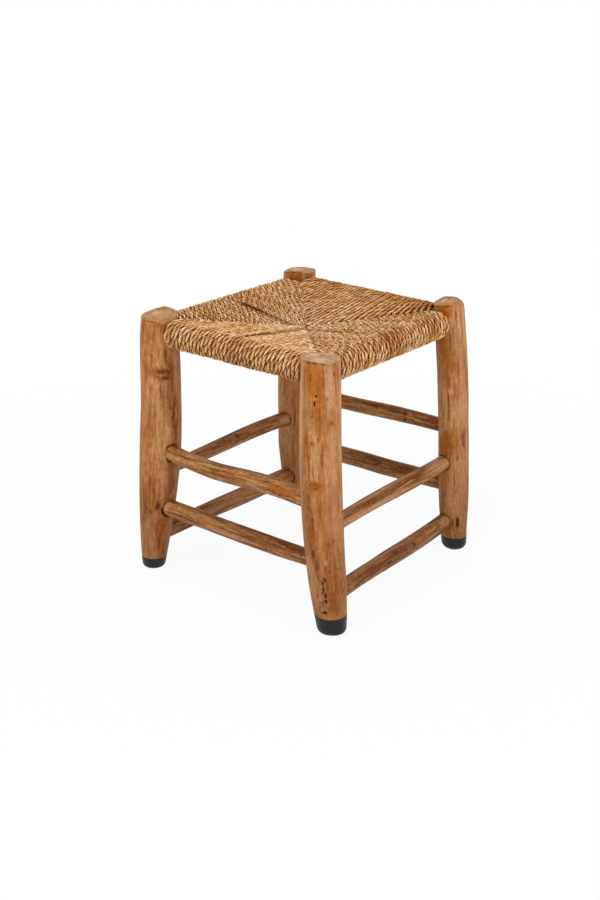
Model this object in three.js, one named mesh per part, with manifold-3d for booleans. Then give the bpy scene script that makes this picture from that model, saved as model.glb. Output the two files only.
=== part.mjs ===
import * as THREE from 'three';
import { mergeVertices } from 'three/addons/utils/BufferGeometryUtils.js';
import Module from 'manifold-3d';

// Moroccan kursi stool, in millimetres, +Z up, standing on z = 0.
// Four debarked branches are the legs. Eight whittled sticks tie them together in two rows,
// and four rails at seat height carry a seat wound from one palm-leaf cord.

const wasm = await Module();
wasm.setup();

// The whole stool.
const legHeight = 450;
const topSpanX = 332;
const topSpanY = 343;
const footSpanX = 369;
const footSpanY = 373;
const clearance = 0.3;
const overrun = 8;

// Legs. A branch's section is a circle with two small lobe waves on it, and its bow is a rounded
// arch, sharper than a sine's by this power.
const legDiameter = 66;
const legLobeShares = [0.014, 0.01];
const legBowPower = 1.3;
const topEdge = 5;
const tiltLength = 30;
const knotReach = 14;
const legSides = 18;
const legSteps = 14;
const legRoomSteps = 3;

// Foot caps.
const capHeight = 26;
const capWall = 3;
const capFloor = 7;

// Stretchers.
const stretcherDiameter = 28;
const stretcherTenonDiameter = 19;
const stretcherTenonStop = 5;
const stretcherSwellShare = 0.03;
const stretcherUnevenShare = 0.02;
const shoulderLength = 6;
const socketSlack = 1.2;
const socketDepth = 3.5;
const stretcherSides = 10;
const stretcherSteps = 7;

// Seat rails.
const railBelowTop = 29;
const seatRailHeight = legHeight - railBelowTop;
const railDiameter = 30;
const railTenonDiameter = 20;
const railTenonWall = 2;
const railSides = 12;

// Seat cord. The seat dips to its middle, slowly by the rails and faster further in.
const cordDiameter = 7.7;
const cordRelief = 2.7;
const seatDip = 21;
const dipPower = 1.2;
const seatThickness = 16;
const topSteps = 2;
const wrapSteps = 5;

// Each leg's own shape. A place is a share of the leg's height and a girth a share of its
// thickest diameter. Shifts, bows and tops are shares of that diameter too.
const legs = {
  front_left: {
    side: [-1, -1],
    heightShare: 1.002,
    thicknessShare: 1.06,
    girthShares: [[0, 0.54], [0.04, 0.61], [0.165, 0.765], [0.285, 0.885], [0.4, 0.96],
      [0.54, 1.005], [0.7, 0.965], [0.86, 0.94], [0.97, 0.86], [1, 0.82]],
    topShiftShare: [-0.044, -0.044],
    footShiftShare: [-0.064, -0.032],
    bowShare: 0.109,
    bowPlaceShare: 0.53,
    bowTurn: 38,
    topTilt: [0.056, 0.159],
    topEdgeShare: 1,
    capShare: 0.8,
    footRoundShare: 0.45,
    knots: [
      { placeShare: 0.785, turn: -40, riseShare: 0.03 },
      { placeShare: 0.35, turn: 150, riseShare: 0.025 },
    ],
  },
  front_right: {
    side: [1, -1],
    heightShare: 0.986,
    thicknessShare: 0.994,
    girthShares: [[0, 0.68], [0.07, 0.78], [0.185, 0.895], [0.29, 0.94], [0.39, 0.965],
      [0.565, 1], [0.72, 0.995], [0.89, 0.955], [1, 0.912]],
    topShiftShare: [-0.065, -0.096],
    footShiftShare: [0.128, 0.03],
    bowShare: 0.108,
    bowPlaceShare: 0.49,
    bowTurn: 218,
    topTilt: [0.028, -0.035],
    topEdgeShare: 0.5,
    capShare: 1.2,
    footRoundShare: 0.38,
    knots: [
      { placeShare: 0.47, turn: -62, riseShare: 0.02 },
      { placeShare: 0.12, turn: -50, riseShare: 0.02 },
    ],
  },
  back_right: {
    side: [1, 1],
    heightShare: 1.011,
    thicknessShare: 0.79,
    girthShares: [[0, 0.84], [0.053, 0.86], [0.155, 0.935], [0.215, 0.975], [0.34, 0.995],
      [0.475, 1.005], [0.6, 1.01], [0.84, 1.005], [0.98, 0.95], [1, 0.935]],
    topShiftShare: [-0.06, -0.094],
    footShiftShare: [-0.155, 0.134],
    bowShare: 0.082,
    bowPlaceShare: 0.6,
    bowTurn: 38,
    topTilt: [-0.026, -0.022],
    topEdgeShare: 1.7,
    capShare: 1,
    footRoundShare: 0.66,
    knots: [
      { placeShare: 0.455, turn: 12, riseShare: 0.02 },
      { placeShare: 0.13, turn: -35, riseShare: 0.03 },
    ],
  },
  back_left: {
    side: [-1, 1],
    heightShare: 1.0085,
    thicknessShare: 0.94,
    girthShares: [[0, 0.66], [0.14, 0.81], [0.31, 0.93], [0.39, 0.97], [0.54, 1],
      [0.76, 1], [0.98, 0.925], [1, 0.915]],
    topShiftShare: [0.127, 0.081],
    footShiftShare: [0.145, -0.037],
    bowShare: 0.081,
    bowPlaceShare: 0.5,
    bowTurn: 218,
    topTilt: [0.073, -0.092],
    topEdgeShare: 0.6,
    capShare: 0.92,
    footRoundShare: 0.5,
    knots: [
      { placeShare: 0.62, turn: 120, riseShare: 0.025 },
      { placeShare: 0.27, turn: 200, riseShare: 0.03 },
    ],
  },
};

// Each stretcher's two ends. Heights are shares of the leg height, girths shares of the
// stretcher diameter, and bends shares of the stretcher's length. An end may stand aside of its
// leg's middle, to the right as seen from the first leg, by a share of the stretcher diameter.
const stretchers = {
  front_upper: {
    legs: ['front_left', 'front_right'], heightShares: [0.488, 0.4735],
    girthShares: [0.96, 1.04], asideShares: [0.28, 0], bowShare: -0.009, swayShare: -0.0115,
  },
  front_lower: {
    legs: ['front_left', 'front_right'], heightShares: [0.258, 0.2535],
    girthShares: [1.02, 0.945], asideShares: [0, 0], bowShare: -0.003, swayShare: 0.001,
  },
  right_upper: {
    legs: ['front_right', 'back_right'], heightShares: [0.3815, 0.3745],
    girthShares: [0.9, 0.94], asideShares: [0.13, -0.26], bowShare: 0.002, swayShare: 0.003,
  },
  right_lower: {
    legs: ['front_right', 'back_right'], heightShares: [0.133, 0.1245],
    girthShares: [0.97, 1.03], asideShares: [0.13, -0.26], bowShare: -0.002, swayShare: 0.004,
  },
  back_upper: {
    legs: ['back_right', 'back_left'], heightShares: [0.506, 0.501],
    girthShares: [0.865, 0.92], asideShares: [0, 0], bowShare: -0.001, swayShare: 0.004,
  },
  back_lower: {
    legs: ['back_right', 'back_left'], heightShares: [0.2695, 0.267],
    girthShares: [1.02, 1.08], asideShares: [0, 0], bowShare: -0.002, swayShare: -0.002,
  },
  left_upper: {
    legs: ['front_left', 'back_left'], heightShares: [0.3885, 0.3885],
    girthShares: [0.82, 0.94], asideShares: [0, 0], bowShare: 0.003, swayShare: -0.004,
  },
  left_lower: {
    legs: ['front_left', 'back_left'], heightShares: [0.129, 0.128],
    girthShares: [1.01, 1.1], asideShares: [0, 0], bowShare: 0.001, swayShare: 0.001,
  },
};

const railSidesOfSeat = {
  front: ['front_left', 'front_right'],
  right: ['front_right', 'back_right'],
  back: ['back_right', 'back_left'],
  left: ['back_left', 'front_left'],
};

// How near the winding starts to each leg's centre, as a share of the leg's girth there.
const windingStartShares = { front_left: 0.5, front_right: 0.405, back_right: 0.66, back_left: 0.53 };

const legWood = new THREE.MeshStandardMaterial({ color: '#b98250', roughness: 0.6, metalness: 0 });
const stretcherWood = new THREE.MeshStandardMaterial({ color: '#ae7846', roughness: 0.62, metalness: 0 });
const railWood = new THREE.MeshStandardMaterial({ color: '#a5805a', roughness: 0.75, metalness: 0 });
const palmCord = new THREE.MeshStandardMaterial({ color: '#c9a06b', roughness: 0.8, metalness: 0 });
const blackRubber = new THREE.MeshStandardMaterial({ color: '#2c2929', roughness: 0.4, metalness: 0 });

const zAxis = new THREE.Vector3(0, 0, 1);

// A value read from rows of [place, value] on a smooth curve through them.
function smoothTable(rows) {
  const places = rows.map((row) => row[0]);
  const values = rows.map((row) => row[1]);
  const curve = new THREE.CubicInterpolant(places, values, 1, [0]);
  return (place) => curve.evaluate(place)[0];
}

// Points of one ring, counter-clockwise round a direction, with a radius for each angle.
function ringPoints(centre, across, up, sides, radiusAt) {
  return Array.from({ length: sides }, (_, index) => {
    const angle = (index / sides) * Math.PI * 2;
    return centre.clone()
      .addScaledVector(across, Math.cos(angle) * radiusAt(angle))
      .addScaledVector(up, Math.sin(angle) * radiusAt(angle));
  });
}

function meanPoint(points) {
  return points.reduce((sum, point) => sum.add(point), new THREE.Vector3()).divideScalar(points.length);
}

// A closed solid through a row of rings that have as many points each, shut by a fan at both ends.
function loft(rings) {
  const sides = rings[0].length;
  const points = rings.flat();
  const start = points.push(meanPoint(rings[0])) - 1;
  const end = points.push(meanPoint(rings[rings.length - 1])) - 1;
  const lastRing = (rings.length - 1) * sides;
  const triangles = [];
  for (let k = 0; k < sides; k++) {
    const next = (k + 1) % sides;
    for (let base = 0; base < lastRing; base += sides) {
      triangles.push([base + k, base + next, base + sides + next]);
      triangles.push([base + k, base + sides + next, base + sides + k]);
    }
    triangles.push([start, next, k]);
    triangles.push([end, lastRing + k, lastRing + next]);
  }
  return solidOf(points, triangles);
}

// A manifold solid of points and triangles.
function solidOf(points, triangles) {
  const geometry = new THREE.BufferGeometry().setFromPoints(points);
  geometry.setIndex(triangles.flat());
  const welded = mergeVertices(geometry);
  const mesh = new wasm.Mesh({
    numProp: 3,
    vertProperties: Float32Array.from(welded.attributes.position.array),
    triVerts: Uint32Array.from(welded.index.array),
  });
  return new wasm.Manifold(mesh);
}

function meshOf(name, solid, material) {
  const { vertProperties, triVerts } = solid.getMesh();
  const geometry = new THREE.BufferGeometry();
  geometry.setAttribute('position', new THREE.BufferAttribute(vertProperties, 3));
  geometry.setIndex(new THREE.BufferAttribute(triVerts, 1));
  geometry.computeVertexNormals();
  const mesh = new THREE.Mesh(geometry, material);
  mesh.name = name;
  return mesh;
}

// Legs: a branch with its own taper, bow, knots and slightly uneven section.
for (const leg of Object.values(legs)) {
  leg.diameter = legDiameter * leg.thicknessShare;
  leg.top = legHeight * leg.heightShare;
  leg.girthAt = smoothTable(leg.girthShares);
  leg.capTop = capHeight * leg.capShare;
}

function legRadius(leg, height) {
  return (leg.diameter / 2) * leg.girthAt(height / leg.top);
}

function legCentre(leg, height) {
  const share = height / leg.top;
  const [sideX, sideY] = leg.side;
  const foot = new THREE.Vector3(
    (sideX * footSpanX) / 2 + leg.diameter * leg.footShiftShare[0],
    (sideY * footSpanY) / 2 + leg.diameter * leg.footShiftShare[1],
    height,
  );
  const head = new THREE.Vector3(
    (sideX * topSpanX) / 2 + leg.diameter * leg.topShiftShare[0],
    (sideY * topSpanY) / 2 + leg.diameter * leg.topShiftShare[1],
    height,
  );
  const turn = THREE.MathUtils.degToRad(leg.bowTurn);
  const warped = share ** (Math.log(0.5) / Math.log(leg.bowPlaceShare));
  const bow = leg.diameter * leg.bowShare * Math.sin(Math.PI * Math.min(warped, 1)) ** legBowPower;
  return foot.lerp(head, share).add(new THREE.Vector3(Math.cos(turn) * bow, Math.sin(turn) * bow, 0));
}

function legRing(leg, height, inset) {
  const centre = legCentre(leg, height);
  const radius = legRadius(leg, height);
  const twist = (height / leg.top) * Math.PI;
  const radiusAt = (angle) => {
    const [twoLobes, threeLobes] = legLobeShares;
    const lobes = 1 + twoLobes * Math.cos(2 * (angle - twist)) + threeLobes * Math.cos(3 * angle + twist);
    const knots = leg.knots.map((knot) => {
      const turn = THREE.MathUtils.degToRad(knot.turn);
      const along = height - leg.top * knot.placeShare;
      const around = radius * Math.acos(Math.cos(angle - turn));
      return leg.diameter * knot.riseShare * Math.exp(-(along ** 2 + around ** 2) / knotReach ** 2);
    });
    return radius * lobes + knots.reduce((sum, rise) => sum + rise, 0) - inset;
  };
  const ring = ringPoints(centre, new THREE.Vector3(1, 0, 0), new THREE.Vector3(0, 1, 0), legSides, radiusAt);
  const tilting = THREE.MathUtils.smoothstep(height, leg.top - tiltLength, leg.top);
  for (const point of ring) {
    const [slopeX, slopeY] = leg.topTilt;
    point.z += tilting * (slopeX * (point.x - centre.x) + slopeY * (point.y - centre.y));
  }
  return ring;
}

// How far a leg stands out from its centre toward a stick, over the stick's girth.
function legReach(leg, height, direction, girth) {
  const centre = legCentre(leg, height);
  const levels = [height - girth / 2, height, height + girth / 2];
  const points = levels.flatMap((level) => legRing(leg, level, 0));
  return Math.max(...points.map((point) => point.sub(centre).dot(direction)));
}

// The outside of a leg from one height to its sawn top.
function legOutside(leg, from) {
  const edge = topEdge * leg.topEdgeShare;
  const bodyTop = leg.top - edge;
  const rings = [];
  for (let step = 0; step <= legSteps; step++) {
    rings.push(legRing(leg, THREE.MathUtils.lerp(from, bodyTop, step / legSteps), 0));
  }
  for (const turn of [30, 60, 90]) {
    const angle = THREE.MathUtils.degToRad(turn);
    rings.push(legRing(leg, bodyTop + edge * Math.sin(angle), edge * (1 - Math.cos(angle))));
  }
  return rings;
}

// The room that the cord leaves round a leg, up past the leg's top.
function legRoom(leg) {
  const from = seatRailHeight - 2 * railDiameter;
  const rings = [];
  for (let step = 0; step <= legRoomSteps; step++) {
    rings.push(legRing(leg, THREE.MathUtils.lerp(from, leg.top, step / legRoomSteps), -clearance));
  }
  const above = legRing(leg, leg.top, -clearance);
  above.forEach((point) => { point.z += railDiameter; });
  return loft([...rings, above]);
}

// The leg stands in its cap on a turned-down end.
function legBlank(leg) {
  const stem = capWall + clearance;
  const shoulder = leg.capTop + clearance;
  return loft([
    legRing(leg, capFloor + clearance, stem),
    legRing(leg, shoulder, stem),
    ...legOutside(leg, shoulder),
  ]);
}

function footCap(leg) {
  const round = legRadius(leg, 0) * leg.footRoundShare;
  const rings = [90, 60, 30, 0].map((turn) => {
    const angle = THREE.MathUtils.degToRad(turn);
    return legRing(leg, round * (1 - Math.sin(angle)), round * (1 - Math.cos(angle)));
  });
  rings.push(legRing(leg, leg.capTop, 0));
  rings.push(legRing(leg, leg.capTop, capWall));
  rings.push(legRing(leg, capFloor, capWall));
  return loft(rings);
}

// Sticks between two legs: stretchers and seat rails.
function stickAxis(legA, legB, [heightA, heightB], [asideA, asideB]) {
  const start = legCentre(legA, heightA);
  const end = legCentre(legB, heightB);
  const right = end.clone().sub(start).cross(zAxis).normalize();
  start.addScaledVector(right, asideA);
  end.addScaledVector(right, asideB);
  const direction = end.clone().sub(start).normalize();
  const across = new THREE.Vector3().crossVectors(zAxis, direction).normalize();
  const up = new THREE.Vector3().crossVectors(direction, across);
  return { start, direction, across, up, length: start.distanceTo(end) };
}

// Rings round an axis, one for each row of distance along it, radius and rise.
function stickRings(axis, rows, sides, unevenness) {
  return rows.map(([distance, radius, rise]) => {
    const centre = axis.start.clone()
      .addScaledVector(axis.direction, distance)
      .addScaledVector(axis.up, rise);
    const radiusAt = (angle) => radius * (1 + unevenness * Math.cos(2 * angle + distance / radius / 4));
    return ringPoints(centre, axis.across, axis.up, sides, radiusAt);
  });
}

// A stretcher's end in its leg: a round shoulder sits in a loose socket, and a tenon goes on from it.
function stretcherEnd(leg, height, girthShare) {
  const radius = (stretcherDiameter / 2) * girthShare;
  const socketRadius = radius + socketSlack;
  const socketFloor = Math.sqrt(legRadius(leg, height) ** 2 - socketRadius ** 2) - socketDepth;
  return { radius, socketRadius, socketFloor, shoulder: socketFloor + clearance + shoulderLength };
}

function readStretcher(spec) {
  const [legA, legB] = spec.legs.map((name) => legs[name]);
  const heights = spec.heightShares.map((share) => legHeight * share);
  const asides = spec.asideShares.map((share) => stretcherDiameter * share);
  const axis = stickAxis(legA, legB, heights, asides);
  const ends = [
    stretcherEnd(legA, heights[0], spec.girthShares[0]),
    stretcherEnd(legB, heights[1], spec.girthShares[1]),
  ];
  return { axis, ends };
}

function stretcherSolid(spec) {
  const { axis, ends } = readStretcher(spec);
  const tenon = stretcherTenonDiameter / 2;
  const endRows = (end) => {
    const rows = [[stretcherTenonStop, tenon, 0], [end.shoulder - shoulderLength, tenon, 0]];
    for (const turn of [30, 60]) {
      const angle = THREE.MathUtils.degToRad(turn);
      const place = end.shoulder - shoulderLength * Math.cos(angle);
      rows.push([place, tenon + (end.radius - tenon) * Math.sin(angle), 0]);
    }
    return rows;
  };
  const body = [];
  const from = ends[0].shoulder;
  const to = axis.length - ends[1].shoulder;
  for (let step = 0; step <= stretcherSteps; step++) {
    const share = step / stretcherSteps;
    const swell = 1 + stretcherSwellShare * Math.sin(Math.PI * share);
    const rise = axis.length * (spec.bowShare * Math.sin(Math.PI * share)
      + spec.swayShare * Math.sin(2 * Math.PI * share));
    const radius = THREE.MathUtils.lerp(ends[0].radius, ends[1].radius, share) * swell;
    body.push([THREE.MathUtils.lerp(from, to, share), radius, rise]);
  }
  const far = endRows(ends[1]).map(([distance, radius, rise]) => [axis.length - distance, radius, rise]);
  const rows = [...endRows(ends[0]), ...body, ...far.reverse()];
  return loft(stickRings(axis, rows, stretcherSides, stretcherUnevenShare));
}

// The socket and mortise that a stretcher needs in the leg at its start or end.
function stretcherMortise(spec, endIndex) {
  const { axis, ends } = readStretcher(spec);
  const end = ends[endIndex];
  const bore = stretcherTenonDiameter / 2 + clearance;
  const rows = [
    [stretcherTenonStop - clearance, bore, 0],
    [end.socketFloor, bore, 0],
    [end.socketFloor, end.socketRadius, 0],
    [end.shoulder + stretcherDiameter, end.socketRadius, 0],
  ];
  const placed = endIndex === 0 ? rows : rows.map(([d, r, rise]) => [axis.length - d, r, rise]).reverse();
  return loft(stickRings(axis, placed, stretcherSides, 0));
}

// Seat rails, all four at one height: their tenons stop short of each other inside the legs.
function railEnd(leg, inward) {
  return {
    stop: railTenonDiameter / 2 + railTenonWall,
    shoulder: legReach(leg, seatRailHeight, inward, railDiameter) + clearance,
  };
}

function readRail([nameA, nameB]) {
  const axis = stickAxis(legs[nameA], legs[nameB], [seatRailHeight, seatRailHeight], [0, 0]);
  const back = axis.direction.clone().negate();
  return { axis, ends: [railEnd(legs[nameA], axis.direction), railEnd(legs[nameB], back)] };
}

function railSolid(pair) {
  const { axis, ends } = readRail(pair);
  const body = railDiameter / 2;
  const tenon = railTenonDiameter / 2;
  const endRows = (end) => [[end.stop, tenon, 0], [end.shoulder, tenon, 0], [end.shoulder, body, 0]];
  const far = endRows(ends[1]).map(([distance, radius, rise]) => [axis.length - distance, radius, rise]);
  return loft(stickRings(axis, [...endRows(ends[0]), ...far.reverse()], railSides, 0));
}

// A plain round bar along a rail's axis, for mortises and for the tunnels through the seat.
function railBar({ axis }, radius, from, to) {
  return loft(stickRings(axis, [[from, radius, 0], [to, radius, 0]], railSides, 0));
}

function railMortises(pair) {
  const rail = readRail(pair);
  const { axis, ends } = rail;
  const radius = railTenonDiameter / 2 + clearance;
  return [
    railBar(rail, radius, ends[0].stop - clearance, ends[0].shoulder + overrun),
    railBar(rail, radius, axis.length - ends[1].shoulder - overrun, axis.length - ends[1].stop + clearance),
  ];
}

// The seat. Every turn of the cord crosses the seat square to its rail, goes round the rail and
// comes back underneath, so the turns of neighbouring sides meet on four mitres.
const corner = {};
for (const [name, leg] of Object.entries(legs)) {
  corner[name] = legCentre(leg, seatRailHeight);
}
const middle = meanPoint(Object.values(corner));
const meanSide = (topSpanX + topSpanY) / 2;
const windingLength = meanSide - legDiameter;
const turnsPerSide = Math.round(windingLength / cordDiameter);

// The share of a side that is bare next to each leg.
function bareShare(name) {
  const leg = legs[name];
  return (legRadius(leg, seatRailHeight) * 2 * windingStartShares[name]) / meanSide;
}

// Where a turn of the cord lies: its place on the rail, its inner end on the mitre, and how
// far out that end is, from 0 in the middle of the seat to 1 at the rail.
function turnPlace(pair, line) {
  const nearStart = line <= turnsPerSide;
  const inward = (nearStart ? line : 2 * turnsPerSide - line) / turnsPerSide;
  const name = nearStart ? pair[0] : pair[1];
  const bare = bareShare(name);
  const along = bare + (0.5 - bare) * inward;
  const rail = corner[pair[0]].clone().lerp(corner[pair[1]], nearStart ? along : 1 - along);
  const mitre = corner[name].clone().lerp(middle, 2 * along);
  return { rail, mitre, outShare: 1 - 2 * along };
}

// The run of one turn, from the mitre over the seat, round the rail and back below to the mitre.
function turnPoints(pair, line) {
  const { rail, mitre, outShare } = turnPlace(pair, line);
  const sunk = line % 2 === 0 ? cordRelief : 0;
  const wrap = railDiameter / 2 + cordDiameter - sunk;
  const outward = corner[pair[0]].clone().lerp(corner[pair[1]], 0.5).sub(middle).normalize();
  const points = [];
  const flatPoint = (share, height) => {
    const point = mitre.clone().lerp(rail, share);
    point.z = height;
    points.push(point);
  };
  for (let step = 0; step < topSteps; step++) {
    const share = step / topSteps;
    const out = THREE.MathUtils.lerp(outShare, 1, share);
    flatPoint(share, seatRailHeight + wrap - seatDip * (1 - out ** dipPower));
  }
  for (let step = 0; step <= wrapSteps; step++) {
    const angle = Math.PI * (0.5 - step / wrapSteps);
    const point = rail.clone().addScaledVector(outward, wrap * Math.cos(angle));
    point.z = seatRailHeight + wrap * Math.sin(angle);
    points.push(point);
  }
  const underDip = railDiameter + 2 * cordDiameter - seatDip - seatThickness;
  flatPoint(0, seatRailHeight - wrap + underDip * (1 - outShare ** dipPower));
  return points;
}

// The flat face that shuts a side's first or last turn.
function endFace(points, facingStart) {
  const origin = points[0];
  const level = points[topSteps].clone().sub(origin).setZ(0).normalize();
  const flat = points.map((point) => new THREE.Vector2(point.clone().sub(origin).dot(level), point.z));
  const faces = THREE.ShapeUtils.triangulateShape(flat, []);
  return faces.map(([a, b, c]) => (facingStart ? [a, b, c] : [a, c, b]));
}

function wovenSeat() {
  const points = [];
  const triangles = [];
  for (const pair of Object.values(railSidesOfSeat)) {
    const lines = Array.from({ length: 2 * turnsPerSide + 1 }, (_, line) => turnPoints(pair, line));
    const count = lines[0].length;
    const base = points.length;
    points.push(...lines.flat());
    for (let line = 0; line < 2 * turnsPerSide; line++) {
      for (let step = 0; step < count - 1; step++) {
        const here = base + line * count + step;
        const next = here + count;
        if (lines[line][step].distanceTo(lines[line + 1][step]) > clearance) {
          triangles.push([here, here + 1, next]);
        }
        triangles.push([here + 1, next + 1, next]);
      }
    }
    const lastLine = 2 * turnsPerSide;
    for (const [line, facingStart] of [[0, true], [lastLine, false]]) {
      const faces = endFace(lines[line], facingStart);
      triangles.push(...faces.map((face) => face.map((index) => base + line * count + index)));
    }
  }
  return solidOf(points, triangles);
}

const stool = new THREE.Group();
const assembly = new THREE.Group();
stool.add(assembly);

for (const [name, leg] of Object.entries(legs)) {
  let solid = legBlank(leg);
  for (const spec of Object.values(stretchers)) {
    const endIndex = spec.legs.indexOf(name);
    if (endIndex >= 0) {
      solid = solid.subtract(stretcherMortise(spec, endIndex));
    }
  }
  for (const pair of Object.values(railSidesOfSeat)) {
    if (pair.includes(name)) {
      solid = solid.subtract(railMortises(pair)[pair.indexOf(name)]);
    }
  }
  assembly.add(meshOf(`leg_${name}`, solid, legWood));
  assembly.add(meshOf(`foot_cap_${name}`, footCap(leg), blackRubber));
}

for (const [name, spec] of Object.entries(stretchers)) {
  assembly.add(meshOf(`stretcher_${name}`, stretcherSolid(spec), stretcherWood));
}

let seat = wovenSeat();
for (const [name, pair] of Object.entries(railSidesOfSeat)) {
  const rail = readRail(pair);
  seat = seat.subtract(railBar(rail, railDiameter / 2 + clearance, 0, rail.axis.length));
  assembly.add(meshOf(`seat_rail_${name}`, railSolid(pair), railWood));
}
for (const leg of Object.values(legs)) {
  seat = seat.subtract(legRoom(leg));
}
assembly.add(meshOf('woven_seat', seat, palmCord));

// The origin lies under the middle of the whole stool, on the floor.
const bounds = new THREE.Box3().setFromObject(assembly);
const centre = bounds.getCenter(new THREE.Vector3());
assembly.position.set(-centre.x, -centre.y, -bounds.min.z);

export default stool;
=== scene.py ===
# Moroccan kursi stool: four branch legs, eight whittled stretchers and a seat wound from palm cord.
# Metres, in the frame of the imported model: the front rail faces -Y and up is +Z.
import math

import bpy
import numpy as np
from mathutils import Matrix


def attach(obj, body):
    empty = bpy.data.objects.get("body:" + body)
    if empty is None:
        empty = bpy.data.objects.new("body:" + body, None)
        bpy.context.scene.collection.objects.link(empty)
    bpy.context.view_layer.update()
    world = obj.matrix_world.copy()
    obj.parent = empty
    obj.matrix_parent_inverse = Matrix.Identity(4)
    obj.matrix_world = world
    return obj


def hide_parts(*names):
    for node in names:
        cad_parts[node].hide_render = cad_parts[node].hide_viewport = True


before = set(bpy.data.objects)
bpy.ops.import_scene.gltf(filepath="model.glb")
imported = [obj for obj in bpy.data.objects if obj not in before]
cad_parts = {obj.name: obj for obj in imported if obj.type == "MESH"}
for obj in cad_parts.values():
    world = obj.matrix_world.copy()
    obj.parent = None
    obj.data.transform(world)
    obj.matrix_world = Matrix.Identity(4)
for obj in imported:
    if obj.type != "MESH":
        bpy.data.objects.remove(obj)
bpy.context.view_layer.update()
print("frame loaded,", len(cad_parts), "nodes")

cameraView = {
    "aim": (0.0013, -0.0253, 0.2106),
    "distance": 2.4,
    "azimuth": 38.406,  # degrees round from the front towards the right side
    "elevation": 21.552,
    "lens": 57.36,
}


def setCamera(view):
    azimuth = math.radians(view["azimuth"])
    elevation = math.radians(view["elevation"])
    back = np.array([math.sin(azimuth) * math.cos(elevation),
                     -math.cos(azimuth) * math.cos(elevation),
                     math.sin(elevation)])
    data = bpy.data.cameras.new("camera")
    data.lens = view["lens"]
    camera = bpy.data.objects.new("camera", data)
    camera.location = np.array(view["aim"]) + back * view["distance"]
    camera.rotation_euler = (math.pi / 2 - elevation, 0, azimuth)
    bpy.context.scene.collection.objects.link(camera)
    bpy.context.scene.camera = camera


setCamera(cameraView)
print("camera placed")


# Noise from -1 to 1 on a lattice whose cells have this size, the same on every run. The large
# numbers only stir the bits of each corner's place in the lattice.
def softNoise(place, size, seed):
    cell = np.asarray(place) / size + 0.37 * seed
    low = np.floor(cell).astype(np.int64)
    part = cell - low
    part = part * part * (3 - 2 * part)
    total = np.zeros(cell.shape[:-1])
    for step in np.ndindex(2, 2, 2):
        corner = low + np.array(step)
        mixed = corner @ np.array([73856093, 19349663, 83492791]) + seed * 40503
        mixed = (mixed & 0xFFFFFF) * 2654435
        mixed = ((mixed ^ (mixed >> 15)) & 0xFFFFFF) * 1274126
        value = ((mixed ^ (mixed >> 13)) & 0xFFFF) / 32767.5 - 1
        weight = np.prod(np.where(np.array(step) == 1, part, 1 - part), axis=-1)
        total += value * weight
    return total


def fade(value, low, high):
    share = np.clip((value - low) / (high - low), 0, 1)
    return share * share * (3 - 2 * share)


def unit(vector):
    return vector / np.linalg.norm(vector)


xAxis, yAxis, zAxis = np.eye(3)


# A direction in plan, from a turn in degrees.
def heading(degrees):
    return np.array([math.cos(math.radians(degrees)), math.sin(math.radians(degrees))])


# How far round a turn is from another, the shorter way, in radians.
def turnGap(around, turn):
    return np.angle(np.exp(1j * (around - turn)))


# Points of an upright round, with a turn, a radius and a height for each.
def roundPoints(around, radius, height):
    return np.stack([np.cos(around) * radius, np.sin(around) * radius, height], -1)


# Straight-line fits near each wanted place, which take the facets out of what the solid gives.
def smoothAlong(places, values, wanted, reach):
    gap = places[None, :] - wanted[:, None]
    weight = np.exp(-(gap / reach) ** 2)
    sum0, sum1, sum2 = weight.sum(1), (weight * gap).sum(1), (weight * gap * gap).sum(1)
    share = weight * (sum2[:, None] - sum1[:, None] * gap)
    share /= (sum0 * sum2 - sum1 ** 2)[:, None]
    return share @ values


def nodeEdges(*names):
    found = []
    for name in names:
        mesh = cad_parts[name].data
        points = np.array([vertex.co for vertex in mesh.vertices])
        found.append(points[np.array([edge.vertices for edge in mesh.edges])])
    return np.concatenate(found)


def nodePoints(name):
    return np.array([vertex.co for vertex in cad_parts[name].data.vertices])


sectionFit = {
    "outside": 0.8,  # points nearer the middle than this share of the radius are a mortise's
    "rounds": 8,
    "inside": 0.0001,  # facets cut inside the round, so points inside the fit weigh less
    "insideWeight": 0.12,
}


# One section square to an axis: its centre across and up, its mean radius and two pairs of lobes.
def readSection(edges, origin, axis, across, up, distance):
    side = (edges - origin) @ axis - distance
    cut = side[:, 0] * side[:, 1] < 0
    share = side[cut, 0] / (side[cut, 0] - side[cut, 1])
    points = edges[cut, 0] + (edges[cut, 1] - edges[cut, 0]) * share[:, None] - origin
    x, y = points @ across, points @ up
    centreX, centreY = (x.max() + x.min()) / 2, (y.max() + y.min()) / 2
    angle = np.arctan2(y - centreY, x - centreX)
    radius = np.hypot(x - centreX, y - centreY)
    outside = radius > sectionFit["outside"] * np.percentile(radius, 90)
    angle, radius = angle[outside], radius[outside]
    columns = np.stack([np.ones_like(angle)]
                       + [turn(order * angle) for order in (1, 2, 3) for turn in (np.cos, np.sin)], 1)
    weight = np.ones_like(radius)
    for _ in range(sectionFit["rounds"]):
        fit = np.linalg.lstsq(columns * weight[:, None], radius * weight, rcond=None)[0]
        within = radius - columns @ fit <= -sectionFit["inside"]
        weight = np.where(within, sectionFit["insideWeight"], 1)
    return [centreX + fit[1], centreY + fit[2], fit[0], *fit[3:]]


# Adds the lobes of sections, as readSection gives them, to a radius.
def addLobes(radius, sections, around):
    for order, column in ((2, 3), (3, 5)):
        radius = radius + sections[:, column:column + 1] * np.cos(order * around)
        radius = radius + sections[:, column + 1:column + 2] * np.sin(order * around)
    return radius


unwrapping = {
    "ends": 0.02,  # left free at both ends of a tube's strip
    "sides": 0.03,  # and at both sides of it
    "flare": 0.35,  # how much a widening tube adds to its length
    "least": 1e-6,
}
quadCorners = [(0, 0), (0, 1), (1, 1), (1, 0)]  # rows and columns onward, round one face


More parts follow.
